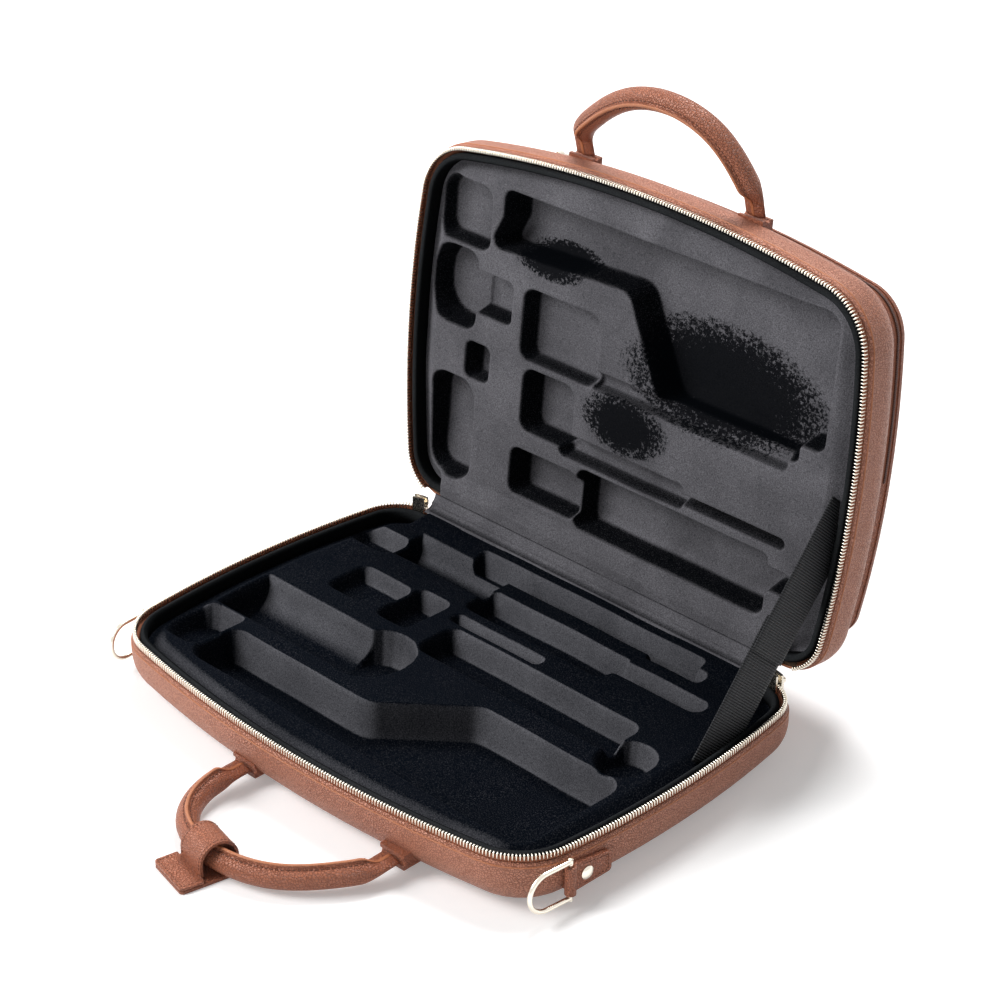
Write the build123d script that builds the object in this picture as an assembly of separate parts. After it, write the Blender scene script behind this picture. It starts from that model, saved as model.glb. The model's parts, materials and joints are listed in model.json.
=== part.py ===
from build123d import *
import os
from math import atan2, cos, degrees, hypot, radians, sin, sqrt, tan

# Double woodwind case, standing open. X runs along the hinge, Y towards it, Z up. All lengths in mm.
# The rim outline is the line of the zip teeth: bowed front and sides, round corners, straight hinge edge.
HALF_WIDTH = 210.0
HALF_DEPTH = 145.0
FRONT_BOW = 23.0
SIDE_BOW = 14.0
FRONT_CORNER = 46.0
BACK_CORNER = 33.0

SHELL_DEPTH = 46.0
BASE_EDGE = 30.0
LID_EDGE = 26.0
OPEN_ANGLE = 96.3
HINGE_SET_BACK = 5.5
HINGE_END_FIT = 0.35
ROW_GAP = 2.4

# The wall from the outside in: leather on a board, both ending at a ledge below the rim.
LEATHER = 1.6
COVER_PROUD = 3.0
BOARD = 5.0
BOARD_FLOOR = 3.0
LEDGE_DROP = 9.0

# Zip: a tape standing on the board's edge, its corded edge, and metal teeth on the cord.
TAPE = 1.0
TAPE_HEIGHT = 4.2
CORD_WIDTH = 1.6
CORD_HEIGHT = 3.2
TOOTH_HEIGHT = 4.0
TOOTH_WIDTH = 2.4
TOOTH_LENGTH = 2.6
TOOTH_PITCH = 4.8

# Plush: the bead inside the zip, the groove at its foot, the sloping shoulder and the land.
BEAD_WIDTH = 5.4
BEAD_DROP = 2.0
GROOVE_DROP = 13.0
SHOULDER_START = 10.5
SHOULDER_END = 24.0
LAND_DROP = 6.0
LAND_EDGE = 3.0

# Carrying handles: a leather tube with a raised seam over a rope core, and a flat root at each end.
HANDLE_RADIUS = 8.0
HANDLE_CORE = 5.8
HANDLE_END_WALL = 3.0
SEAM_HEIGHT = 2.6
SEAM_WIDTH = 2.4
ROOT_WIDTH = 17.0
ROOT_THICK = 5.0
ROOT_REACH = 12.0
ROOT_FIT = 0.3
ROOT_DROP = 33.0
HANDLE_SINK = 1.0
HANDLE_Y = HANDLE_SINK - COVER_PROUD - HALF_DEPTH
SEAT_WIDTH = 22.0
SEAT_HEIGHT = 11.0
SEAT_STAND = 1.2
BASE_HANDLE_DIP = 1.7
LID_HANDLE_LEAN = 20.0
BASE_HANDLE = [(-42, 12), (-40, 34), (-22, 64), (24, 76), (64, 64), (94, 33), (103, 12)]
LID_HANDLE = [(-77, 12), (-63, 33), (-20, 61), (10, 67), (54, 54), (75, 25), (79, 12)]

# Shoulder-strap rings on the side walls near the front.
RING_WIRE = 1.7
RING_INNER = 24.4
RING_REACH = 33.0
RING_FIT = 0.35
EYE_WALL = 1.8
TAB_THICK = 4.0
TAB_ROOT = 14.0
TAB_HEIGHT = 21.0
TAB_TIP = 15.0
TAB_LENGTH = 34.0
TAB_Z = 24.5
RING_INSET = 51.0
RING_BAR_Y = RING_INSET - HALF_DEPTH
RIVET_BACK = 13.5
RIVET_RADIUS = 4.8
RIVET_RISE = 1.6
RIVET_FOOT = 0.8

# Zip sliders, parked in the back corners of the base's chain.
SLIDER_ANGLE = 78.0
SLIDER_SPAN = 19.0
PARK_CLEAR = 2.0
SLIDER_PLATE = 1.2
SLIDER_FIT = 0.4
SLIDER_LIP = 0.8
NECK_SPAN = 8.0
EAR_SPACING = 6.0
EAR_THICK = 1.0
EAR_END = 1.3
EAR_TALL = 3.0
BAIL_RADIUS = 0.8
BAIL_STAND = 2.4
PULL_FIT = 0.3
PULL_LENGTH = 24.0
PULL_THICK = 1.6
PULL_EYE = 2.2

# Pocket on the outside of the lid.
POCKET_INSET = 11.0
POCKET_WALL = 9.0
POCKET_HEIGHT = 16.0
POCKET_EDGE = 6.0
POCKET_SKIN = 1.6
POCKET_LIP = 0.8
POCKET_TAPE = 5.0
POCKET_TAPE_DROP = 3.0
POCKET_TEETH = 2.4
POCKET_ZIP_END_Y = 10.0
POCKET_SLIDER_X = -118.0
POCKET_SLIDER_LENGTH = 9.5
POCKET_PULL_LENGTH = 20.0

# Stay strap: black webbing between base and lid, on the right.
STRAP_INSET = 17.5
STRAP_X = HALF_WIDTH - STRAP_INSET
STRAP_WIDTH = 40.0
STRAP_THICK = 1.6
STRAP_SLOT = 0.4
STRAP_SLOT_END = 8.0
STRAP_LIFT = 0.5
STRAP_LOW_Y = 60.0
STRAP_HIGH_Y = 28.0

# Luggage tag, looped round the base handle.
TAG_X = 14.0
TAG_REACH = 75.3
TAG_TURN = -12.0
TAG_LEATHER = 2.0
TAG_BAND = 27.0
TAG_WIDTH = 38.0
TAG_FRONT = 31.0
TAG_BACK = 15.5
TAG_ARCH = 12.0
TAG_ARCH_Z = 11.8
TAG_WINDOW = 0.6
TAG_GROUND = 0.2

HINGE_Y = HALF_DEPTH + HINGE_SET_BACK
HINGE_Z = SHELL_DEPTH + ROW_GAP / 2
HINGE = Axis((0, HINGE_Y, HINGE_Z), (1, 0, 0))
BOARD_FACE = LEATHER - COVER_PROUD
LINER_FACE = BOARD_FACE + BOARD
LINER_BOTTOM = LEATHER + BOARD_FLOOR - SHELL_DEPTH


def circle_meet(c1, r1, c2, r2):
    """The meeting point of two circles that lies to the front right."""
    dx, dy = c2[0] - c1[0], c2[1] - c1[1]
    d = hypot(dx, dy)
    a = (r1 * r1 - r2 * r2 + d * d) / (2 * d)
    h = sqrt(r1 * r1 - a * a)
    px, py = c1[0] + a * dx / d, c1[1] + a * dy / d
    both = [(px - h * dy / d, py + h * dx / d), (px + h * dy / d, py - h * dx / d)]
    return max(both, key=lambda p: p[0] - p[1])


FRONT_RADIUS = (HALF_WIDTH**2 + FRONT_BOW**2) / (2 * FRONT_BOW)
FRONT_CENTRE = (0.0, FRONT_RADIUS - HALF_DEPTH)
SIDE_RADIUS = (HALF_DEPTH**2 + SIDE_BOW**2) / (2 * SIDE_BOW)
SIDE_CENTRE = (HALF_WIDTH - SIDE_RADIUS, 0.0)
FRONT_TURN = circle_meet(FRONT_CENTRE, FRONT_RADIUS - FRONT_CORNER, SIDE_CENTRE, SIDE_RADIUS - FRONT_CORNER)
BACK_TURN_Y = HALF_DEPTH - BACK_CORNER
BACK_TURN = (SIDE_CENTRE[0] + sqrt((SIDE_RADIUS - BACK_CORNER)**2 - BACK_TURN_Y**2), BACK_TURN_Y)
FRONT_ANGLE = degrees(atan2(FRONT_TURN[1] - FRONT_CENTRE[1], FRONT_TURN[0]))
SIDE_START = degrees(atan2(FRONT_TURN[1], FRONT_TURN[0] - SIDE_CENTRE[0]))
SIDE_END = degrees(atan2(BACK_TURN[1], BACK_TURN[0] - SIDE_CENTRE[0]))


def outline(inset):
    """The rim outline moved inwards by inset, as a face on Z = 0. All its arcs keep their centres."""
    right = [
        (FRONT_TURN, FRONT_CORNER, FRONT_ANGLE, SIDE_START),
        (SIDE_CENTRE, SIDE_RADIUS, SIDE_START, SIDE_END),
        (BACK_TURN, BACK_CORNER, SIDE_END, 90.0),
    ]
    edges = [CenterArc(FRONT_CENTRE, FRONT_RADIUS - inset, -180 - FRONT_ANGLE, 180 + 2 * FRONT_ANGLE)]
    for centre, radius, start, end in right:
        edges.append(CenterArc(centre, radius - inset, start, end - start))
    back = HALF_DEPTH - inset
    edges.append(Line((BACK_TURN[0], back), (-BACK_TURN[0], back)))
    for centre, radius, start, end in reversed(right):
        edges.append(CenterArc((-centre[0], centre[1]), radius - inset, 180 - end, end - start))
    return make_face(edges)


def prism(inset, top, bottom, edge=0.0):
    """A straight block inside the outline, with its bottom edge rounded."""
    block = extrude(Pos(0, 0, bottom) * outline(inset), top - bottom)
    if edge > 0:
        block = fillet(block.faces().sort_by(Axis.Z)[0].edges(), edge)
    return block


def band(outer, inner, top, bottom):
    return prism(outer, top, bottom) - prism(inner, top, bottom)


def side_x(y, proud=0.0):
    """X of the right side wall at y, this far outside the line of the teeth."""
    return SIDE_CENTRE[0] + sqrt((SIDE_RADIUS + proud)**2 - y * y)


def rounded(points, radius):
    """A closed outline with rounded corners, as a face. A point's third number is its own radius."""
    turns = []
    for i, point in enumerate(points):
        before, after = points[i - 1], points[(i + 1) % len(points)]
        r = point[2] if len(point) > 2 else radius
        ux, uy = before[0] - point[0], before[1] - point[1]
        wx, wy = after[0] - point[0], after[1] - point[1]
        u, w = hypot(ux, uy), hypot(wx, wy)
        ux, uy, wx, wy = ux / u, uy / u, wx / w, wy / w
        bx, by = ux + wx, uy + wy
        b = hypot(bx, by)
        half = atan2(sqrt(max(1 - (b / 2)**2, 0)), b / 2)
        reach = min(r / tan(half), 0.49 * u, 0.49 * w)
        r = reach * tan(half)
        depth = (r / sin(half) - r) / b
        first = (point[0] + ux * reach, point[1] + uy * reach)
        last = (point[0] + wx * reach, point[1] + wy * reach)
        turns.append((first, (point[0] + bx * depth, point[1] + by * depth), last))
    edges = []
    for i, (first, middle, last) in enumerate(turns):
        edges.append(ThreePointArc(first, middle, last))
        edges.append(Line(last, turns[(i + 1) % len(turns)][0]))
    return make_face(edges)


def recess(points, radius, drop):
    """A recess with upright walls, its floor this far below the rim."""
    return extrude(Pos(0, 0, -drop) * rounded(points, radius), drop + 1)


def trough(x0, x1, y, radius, drop):
    """A half-round recess along X, its lowest line this far below the rim."""
    middle = (x0 + x1) / 2
    tube = Pos(middle, y, radius - drop) * Rot(0, 90, 0) * Cylinder(radius, x1 - x0)
    if drop - radius > -1:
        height = drop - radius + 1
        tube = tube + Pos(middle, y, 1 - height / 2) * Box(x1 - x0, 2 * radius, height)
    return tube


# Recesses of the base, as outlines in X and Y with a corner radius and a depth below the rim.
BASE_RECESSES = [
    ([(-148, -105), (178, -105), (178, -13, 12), (50, -13, 20), (-8, -64, 20), (-148, -64)], 12, 34),
    ([(-192, -98), (-192, -50), (-152, -50, 6), (-152, -98, 6)], 20, 27),
    ([(-80, -47), (-80, 12), (-26, 12), (-26, -47)], 26, 34),
    ([(-38, 10), (-38, 45), (142, 45), (142, 10)], 8, 26),
    ([(142, -9), (142, 31), (178, 31), (178, -9)], 17, 24),
    ([(-48, 53), (-48, 61), (37, 61), (37, 53)], 3, 17),
    ([(-53, 73), (-53, 101), (79, 101), (79, 98), (156, 98), (156, 85), (79, 85), (79, 73)], 6, 25),
    ([(-93, 119), (-93, 132), (121, 132), (121, 123), (131, 123), (131, 114), (86, 114), (86, 119)], 3, 22),
    ([(-192, 84), (-192, 108), (-150, 108, 5), (-150, 84, 5)], 12, 22),
    ([(-146, 24), (-146, 60), (-96, 60), (-96, 36), (-112, 36), (-112, 24)], 6, 20),
    ([(-92, 22), (-92, 66), (-62, 66), (-62, 22)], 6, 24),
]
BASE_TROUGHS = [(-186, -56, -22, 25, 33), (-147, -56, 105, 15, 27)]

# Recesses of the lid, in the same coordinates of the closed case.
LID_RECESSES = [
    ([(-124, -110, 6), (-124, -90, 6), (-136, -66, 6), (0, -73, 14), (36, -2, 14), (158, -2, 4),
      (158, -16, 4), (178, -16, 6), (178, -110, 14)], 8, 32),
    ([(-192, -106, 14), (-192, -60, 10), (-139, -60, 8), (-139, -106, 10)], 10, 25),
    ([(-196, -54), (-196, 4), (-148, 4, 10), (-148, -54, 10)], 28, 31),
    ([(-150, -42), (-150, -12), (-112, -12), (-112, -42)], 4, 26),
    ([(-98, -44), (-98, 8), (-26, 8), (-26, -44)], 8, 22),
    ([(-26, -4), (-26, 8), (150, 8), (150, -4)], 3, 17),
    ([(-92, 16), (-92, 62), (-44, 62), (-44, 16)], 8, 27),
    ([(-152, 14), (-152, 40), (-130, 40), (-130, 14)], 5, 24),
    ([(-186, 46), (-186, 124), (-142, 124), (-142, 46)], 14, 27),
    ([(-98, 80), (-98, 114), (-34, 114), (-34, 80)], 6, 27),
    ([(-52, 52), (-52, 68), (64, 68), (64, 64), (156, 64), (156, 58), (64, 58), (64, 52)], 5, 21),
    ([(-32, 74), (-32, 118), (144, 118), (144, 96), (168, 96), (168, 82), (144, 82), (144, 74)], 7, 30),
]
LID_TROUGHS = []


def liner(recesses, troughs, edge, slot):
    """Moulded plush: a tray under the bead, a sloping shoulder and a land with the instrument's recesses."""
    block = prism(LINER_FACE, -GROOVE_DROP, LINER_BOTTOM, edge - LEATHER - BOARD)
    foot = Pos(0, 0, -GROOVE_DROP) * outline(SHOULDER_START)
    land = Pos(0, 0, -LAND_DROP) * outline(SHOULDER_END)
    shoulder = loft([foot, land], ruled=True)
    shoulder = fillet(shoulder.faces().sort_by(Axis.Z)[-1].edges(), LAND_EDGE)
    cuts = [recess(*item) for item in recesses]
    cuts = cuts + [trough(*item) for item in troughs]
    return (block + shoulder) - cuts - slot


def cover(edge):
    outer = prism(-COVER_PROUD, -LEDGE_DROP, -SHELL_DEPTH, edge)
    return outer - prism(BOARD_FACE, -LEDGE_DROP, LEATHER - SHELL_DEPTH, edge - LEATHER)


def board(edge):
    outer = prism(BOARD_FACE, -LEDGE_DROP, LEATHER - SHELL_DEPTH, edge - LEATHER)
    return outer - prism(LINER_FACE, -LEDGE_DROP, LINER_BOTTOM, edge - LEATHER - BOARD)


def bead():
    """The plush bead inside the zip, with a round top."""
    ring = band(LINER_FACE, LINER_FACE + BEAD_WIDTH, -BEAD_DROP, -GROOVE_DROP)
    top = ring.faces().sort_by(Axis.Z)[-1]
    return fillet(top.edges(), BEAD_WIDTH * 0.4)


def zip_gap(from_y, half_width):
    """What a chain leaves free along the hinge edge."""
    return Pos(0, from_y + HALF_DEPTH, 0) * Box(2 * half_width, 2 * HALF_DEPTH, 4 * SHELL_DEPTH)


def zip_tape(gap):
    return band(-TAPE / 2, TAPE / 2, TAPE_HEIGHT - LEDGE_DROP, -LEDGE_DROP) - gap


def rim_places(spacing):
    """Places evenly along the right half of the rim, from the hinge end to the front's middle."""
    runs = [
        (BACK_TURN, BACK_CORNER, 90.0, SIDE_END),
        (SIDE_CENTRE, SIDE_RADIUS, SIDE_END, SIDE_START),
        (FRONT_TURN, FRONT_CORNER, SIDE_START, FRONT_ANGLE),
        (FRONT_CENTRE, FRONT_RADIUS, FRONT_ANGLE, -90.0),
    ]
    places = []
    carried = spacing / 2
    for centre, radius, start, end in runs:
        length = radians(start - end) * radius
        while carried < length:
            angle = start - degrees(carried / radius)
            x = centre[0] + radius * cos(radians(angle))
            y = centre[1] + radius * sin(radians(angle))
            places.append((x, y, angle))
            carried += spacing
        carried -= length
    return places


def zip_teeth(gap, last_y):
    """One chain: the cord with its teeth, from one hinge end round the front to the other."""
    foot = TAPE_HEIGHT - LEDGE_DROP
    cord = band(-CORD_WIDTH / 2, CORD_WIDTH / 2, foot + CORD_HEIGHT, foot) - gap
    tooth = Pos(0, 0, -TOOTH_HEIGHT / 2) * Box(TOOTH_WIDTH, TOOTH_LENGTH, TOOTH_HEIGHT)
    teeth = []
    for x, y, angle in rim_places(TOOTH_PITCH):
        if y < last_y and x > TOOTH_PITCH / 2:
            teeth.append(Pos(x, y, 0) * Rot(0, 0, angle) * tooth)
            teeth.append(Pos(-x, y, 0) * Rot(0, 0, 180 - angle) * tooth)
    return cord.fuse(*teeth)


def base_place(piece):
    return Pos(0, 0, SHELL_DEPTH) * piece


def lid_place(piece):
    """Takes a piece of a shell built rim up at Z = 0 to its place in the open lid."""
    closed = Pos(0, 0, SHELL_DEPTH + ROW_GAP) * mirror(piece, about=Plane.XY)
    return closed.rotate(HINGE, -OPEN_ANGLE)


def write(name, piece):
    solids = piece.solids()
    shape = solids[0] if len(solids) == 1 else Compound(children=list(solids))
    shape.label = name
    export_step(shape, os.path.join("parts", name + ".step"))


def strap_direction():
    """Angle of the strap above the horizontal and its length, between its two centre points."""
    y_low, z_low = STRAP_LOW_Y, SHELL_DEPTH - GROOVE_DROP
    y_high, z_high = turn_open(STRAP_HIGH_Y, SHELL_DEPTH + ROW_GAP + GROOVE_DROP)
    return degrees(atan2(z_high - z_low, y_high - y_low)), hypot(y_high - y_low, z_high - z_low)


def turn_open(y, z):
    """Where a point of the closed lid lies with the lid open, as Y and Z."""
    a = radians(-OPEN_ANGLE)
    dy, dz = y - HINGE_Y, z - HINGE_Z
    return HINGE_Y + dy * cos(a) - dz * sin(a), HINGE_Z + dy * sin(a) + dz * cos(a)


def strap_slot(side):
    """The slit in the shoulder that takes the strap's end, in shell coordinates."""
    tilt = strap_direction()[0]
    if side == "base":
        middle, length = STRAP_LOW_Y, STRAP_WIDTH / sin(radians(tilt))
    else:
        middle, length = STRAP_HIGH_Y, STRAP_WIDTH / sin(radians(180 - OPEN_ANGLE - tilt))
    slit = Box(STRAP_THICK + 2 * STRAP_SLOT, length + 2 * STRAP_SLOT_END, GROOVE_DROP)
    return Pos(STRAP_X, middle, -GROOVE_DROP / 2) * slit


def make_strap():
    """Webbing in one upright plane, from the groove of the base to that of the lid."""
    tilt, length = strap_direction()
    y_mid = STRAP_LOW_Y + length / 2 * cos(radians(tilt))
    z_mid = SHELL_DEPTH - GROOVE_DROP + length / 2 * sin(radians(tilt))
    webbing = Box(STRAP_THICK, length + 2 * STRAP_WIDTH, STRAP_WIDTH)
    webbing = Pos(STRAP_X, y_mid, z_mid) * Rot(tilt, 0, 0) * webbing
    below = Box(STRAP_WIDTH, 1000, 200)
    webbing = webbing - Pos(STRAP_X, 0, SHELL_DEPTH - GROOVE_DROP - 100) * below
    beyond = Pos(STRAP_X, 0, STRAP_LIFT - GROOVE_DROP - 100) * below
    return webbing - lid_place(beyond)


def make_shells():
    write("stay_strap", make_strap())
    for side, edge, place, recesses, troughs in (
        ("base", BASE_EDGE, base_place, BASE_RECESSES, BASE_TROUGHS),
        ("lid", LID_EDGE, lid_place, LID_RECESSES, LID_TROUGHS),
    ):
        write(side + "_cover", place(cover(edge)))
        write(side + "_shell", place(board(edge)))
        write(side + "_binding", place(bead()))
        write(side + "_liner", place(liner(recesses, troughs, edge, strap_slot(side))))


def make_zip():
    park = radians(SLIDER_ANGLE - SLIDER_SPAN / 2 - PARK_CLEAR)
    park_y = BACK_TURN[1] + BACK_CORNER * sin(park)
    base_gap = zip_gap(BACK_TURN[1], BACK_TURN[0])
    lid_gap = zip_gap(park_y, HALF_WIDTH + 10)
    write("base_zip_tape", base_place(zip_tape(base_gap)))
    write("base_zip_teeth", base_place(zip_teeth(base_gap, HALF_DEPTH)))
    write("lid_zip_tape", lid_place(zip_tape(lid_gap)))
    write("lid_zip_teeth", lid_place(zip_teeth(lid_gap, park_y - TOOTH_LENGTH / 2)))


def handle_parts(points):
    """Sleeve and core of one handle: it turns about X at the origin, reaches along -Y, seam on top."""
    run = [(x, -reach) for x, reach in points]
    path = Spline(*run, tangents=[(0, -1), (0, 1)])
    section = Plane(origin=path @ 0, x_dir=(0, 0, 1), z_dir=path % 0)
    outer = sweep(section * Circle(HANDLE_RADIUS), path=path)
    inner = sweep(section * Circle(HANDLE_CORE), path=path)
    seam_mid = (HANDLE_CORE + 1 + HANDLE_RADIUS + SEAM_HEIGHT) / 2
    seam_tall = HANDLE_RADIUS + SEAM_HEIGHT - HANDLE_CORE - 1
    seam = sweep(section * Pos(seam_mid, 0) * Rectangle(seam_tall, SEAM_WIDTH), path=path)
    core = inner - Box(1000, 2 * (ROOT_REACH + HANDLE_END_WALL), 100)
    sleeve = outer + seam
    for x in (points[0][0], points[-1][0]):
        root = Pos(x, -(ROOT_REACH + 1) / 2, 0) * Box(ROOT_WIDTH, ROOT_REACH + 1, ROOT_THICK)
        sleeve = sleeve + root + Pos(x, 0, 0) * Rot(0, 90, 0) * Cylinder(ROOT_THICK / 2, ROOT_WIDTH)
    return sleeve - core, core


def handle_seats(points, edge):
    """Leather seats on the front wall that a handle's roots turn against, in shell coordinates."""
    wall = prism(-COVER_PROUD, -LEDGE_DROP, -SHELL_DEPTH, edge)
    front = HANDLE_Y + SEAT_STAND
    seats = []
    for x in (points[0][0], points[-1][0]):
        block = Pos(x, front + 10, -ROOT_DROP) * Box(SEAT_WIDTH, 20, SEAT_HEIGHT)
        hollow = Rot(0, 90, 0) * Cylinder(ROOT_THICK / 2 + ROOT_FIT, 2 * SEAT_WIDTH)
        seats.append(block - Pos(x, HANDLE_Y, -ROOT_DROP) * hollow - wall)
    return Compound(children=[solid for seat in seats for solid in seat.solids()])


def make_handles():
    for side, points, turn, edge, place in (
        ("base", BASE_HANDLE, BASE_HANDLE_DIP, BASE_EDGE, base_place),
        ("lid", LID_HANDLE, -LID_HANDLE_LEAN, LID_EDGE, lid_place),
    ):
        sleeve, core = handle_parts(points)
        for name, piece in ((side + "_handle", sleeve), (side + "_handle_core", core)):
            write(name, place(Pos(0, HANDLE_Y, -ROOT_DROP) * Rot(turn, 0, 0) * piece))
        write(side + "_handle_seats", place(handle_seats(points, edge)))


def ring_parts():
    """Tab, rivet and ring on the right-hand wall. Local X runs back along the wall, Y up, Z outwards."""
    tip_y = RING_BAR_Y + TAB_LENGTH
    slope = degrees(atan2(side_x(tip_y, COVER_PROUD) - side_x(RING_BAR_Y, COVER_PROUD), TAB_LENGTH))
    corner = (side_x(RING_BAR_Y, COVER_PROUD), RING_BAR_Y, TAB_Z)
    local = Plane(origin=corner, x_dir=(0, 1, 0), z_dir=(1, 0, 0)).location * Rot(0, -slope, 0)
    bore = RING_WIRE + RING_FIT
    eye = bore + EYE_WALL
    tall, tip, long = TAB_HEIGHT / 2, TAB_TIP / 2, TAB_LENGTH
    face = rounded([(0, -tall), (long, -tip, 3), (long, tip, 3), (0, tall)], 0.5)
    plate = extrude(Pos(0, 0, -TAB_ROOT) * face, TAB_ROOT + TAB_THICK)
    barrel = Pos(0, 0, eye) * Rot(90, 0, 0) * Cylinder(eye, TAB_HEIGHT)
    hole = Pos(0, 0, eye) * Rot(90, 0, 0) * Cylinder(bore, 2 * TAB_HEIGHT)
    tab = local * (plate + barrel - hole)
    tab = tab - base_place(prism(-COVER_PROUD, -LEDGE_DROP, -SHELL_DEPTH, BASE_EDGE))
    tab = tab.solids().sort_by(SortBy.VOLUME)[-1]
    foot = Pos(RIVET_BACK, 0, TAB_THICK + RIVET_FOOT / 2) * Cylinder(RIVET_RADIUS, RIVET_FOOT)
    top = TAB_THICK + RIVET_FOOT + RIVET_RISE
    dome_radius = (RIVET_RADIUS**2 + RIVET_RISE**2) / (2 * RIVET_RISE)
    dome = Pos(RIVET_BACK, 0, top - dome_radius) * Sphere(dome_radius)
    dome = dome & Pos(RIVET_BACK, 0, top) * Cylinder(RIVET_RADIUS, 2 * RIVET_RISE)
    half = RING_INNER / 2 + RING_WIRE
    straight = RING_REACH - half
    arc = ThreePointArc((-straight, -half), (-straight - half, 0), (-straight, half))
    loop = Wire([Line((0, -half), (-straight, -half)), arc, Line((-straight, half), (0, half))])
    bow = sweep(Plane(origin=(0, -half, 0), x_dir=(0, 0, 1), z_dir=(-1, 0, 0)) * Circle(RING_WIRE), path=loop)
    bar = Rot(90, 0, 0) * Cylinder(RING_WIRE, 2 * half + 1.96 * RING_WIRE)
    ring = Pos(0, 0, eye) * (bow + bar)
    return tab, local * (foot + dome), local * ring


def make_rings():
    names = ("ring_tab_", "ring_rivet_", "shoulder_ring_")
    for name, piece in zip(names, ring_parts()):
        write(name + "right", piece)
        write(name + "left", mirror(piece, about=Plane.YZ))


def arc_bar(r0, r1, z0, z1, middle, span):
    """A bar bent about Z: radii r0 to r1, heights z0 to z1, this span of angle about its middle."""
    profile = Plane.XZ * (Pos((r0 + r1) / 2, (z0 + z1) / 2) * Rectangle(r1 - r0, z1 - z0))
    return Rot(0, 0, middle - span / 2) * revolve(profile, axis=Axis.Z, revolution_arc=span)


def hinged_pull(length):
    """A pull that hangs from a cross bar at the origin, blade down, flat towards X."""
    width = EAR_SPACING - EAR_THICK - 2 * PULL_FIT
    blade = Pos(0, 0, -length / 2) * Box(PULL_THICK, width, length)
    blade = fillet(blade.edges().filter_by(Axis.X).group_by(Axis.Z)[0], width * 0.4)
    eye = Rot(90, 0, 0) * Cylinder(PULL_EYE, width)
    return eye + blade - Rot(90, 0, 0) * Cylinder(BAIL_RADIUS + PULL_FIT, 2 * width)


def bail(from_x, bar_x):
    """Two ears and their cross bar, standing out along X from a slider's face."""
    end = bar_x + EAR_END
    ear = Box(end - from_x, EAR_THICK, EAR_TALL)
    ears = [Pos((from_x + end) / 2, side * EAR_SPACING / 2, 0) * ear for side in (-1, 1)]
    bar = Pos(bar_x, 0, 0) * Rot(90, 0, 0) * Cylinder(BAIL_RADIUS, EAR_SPACING)
    return bar.fuse(*ears)


def slider_parts():
    """Slider and pull of the right-hand back corner, about the corner's centre with the rim at Z = 0."""
    low = -TOOTH_HEIGHT - SLIDER_FIT - SLIDER_LIP
    high = ROW_GAP - low
    near = TOOTH_WIDTH / 2 + SLIDER_FIT
    out, into = BACK_CORNER + near, BACK_CORNER - near
    body = arc_bar(out, out + SLIDER_PLATE, low, high, SLIDER_ANGLE, SLIDER_SPAN)
    body = body + arc_bar(into - SLIDER_PLATE, into, low, high, SLIDER_ANGLE, SLIDER_SPAN)
    body = body + arc_bar(into, out, SLIDER_FIT, ROW_GAP - SLIDER_FIT, SLIDER_ANGLE, NECK_SPAN)
    lip = CORD_WIDTH / 2 + SLIDER_FIT
    for z in (low, high - SLIDER_LIP):
        body = body + arc_bar(BACK_CORNER + lip, out, z, z + SLIDER_LIP, SLIDER_ANGLE, SLIDER_SPAN)
        body = body + arc_bar(into, BACK_CORNER - lip, z, z + SLIDER_LIP, SLIDER_ANGLE, SLIDER_SPAN)
    face = out + SLIDER_PLATE
    bar_x = face + BAIL_STAND
    turn = Rot(0, 0, SLIDER_ANGLE) * Pos(0, 0, ROW_GAP / 2)
    body = body + turn * bail(face - SLIDER_PLATE / 2, bar_x)
    return body, turn * (Pos(bar_x, 0, 0) * hinged_pull(PULL_LENGTH))


def make_sliders():
    corner = Pos(BACK_TURN[0], BACK_TURN[1], 0)
    for name, piece in zip(("zip_slider_", "zip_pull_"), slider_parts()):
        piece = base_place(corner * piece)
        write(name + "right", piece)
        write(name + "left", mirror(piece, about=Plane.YZ))


def make_pocket():
    """Pocket on the lid's outer face: upright walls with a zip in them, under a panel with a round edge."""
    face = -SHELL_DEPTH
    wall_end = face - POCKET_WALL
    inner = POCKET_INSET + POCKET_SKIN
    zip_top = face - POCKET_TAPE_DROP
    keep = Pos(0, POCKET_ZIP_END_Y - 500, 0) * Box(1000, 1000, 1000)
    tape = band(POCKET_INSET, inner, zip_top, zip_top - POCKET_TAPE) & keep
    mid = zip_top - POCKET_TAPE / 2
    tall = POCKET_TEETH / 2
    teeth = band(POCKET_INSET - POCKET_LIP, POCKET_INSET, mid + tall, mid - tall) & keep
    lid_body = prism(-COVER_PROUD, -LEDGE_DROP, face, LID_EDGE)
    wall = band(POCKET_INSET, inner, face + 6, wall_end) - lid_body - tape
    lip = POCKET_INSET - POCKET_LIP
    outer = prism(lip, wall_end, face - POCKET_HEIGHT, POCKET_EDGE)
    hollow = prism(lip + POCKET_SKIN, wall_end, face - POCKET_HEIGHT + POCKET_SKIN, POCKET_EDGE - POCKET_SKIN)
    write("pocket_gusset", lid_place(wall))
    write("pocket_panel", lid_place(outer - hollow))
    write("pocket_zip_tape", lid_place(tape))
    write("pocket_zip_teeth", lid_place(teeth))


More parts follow.
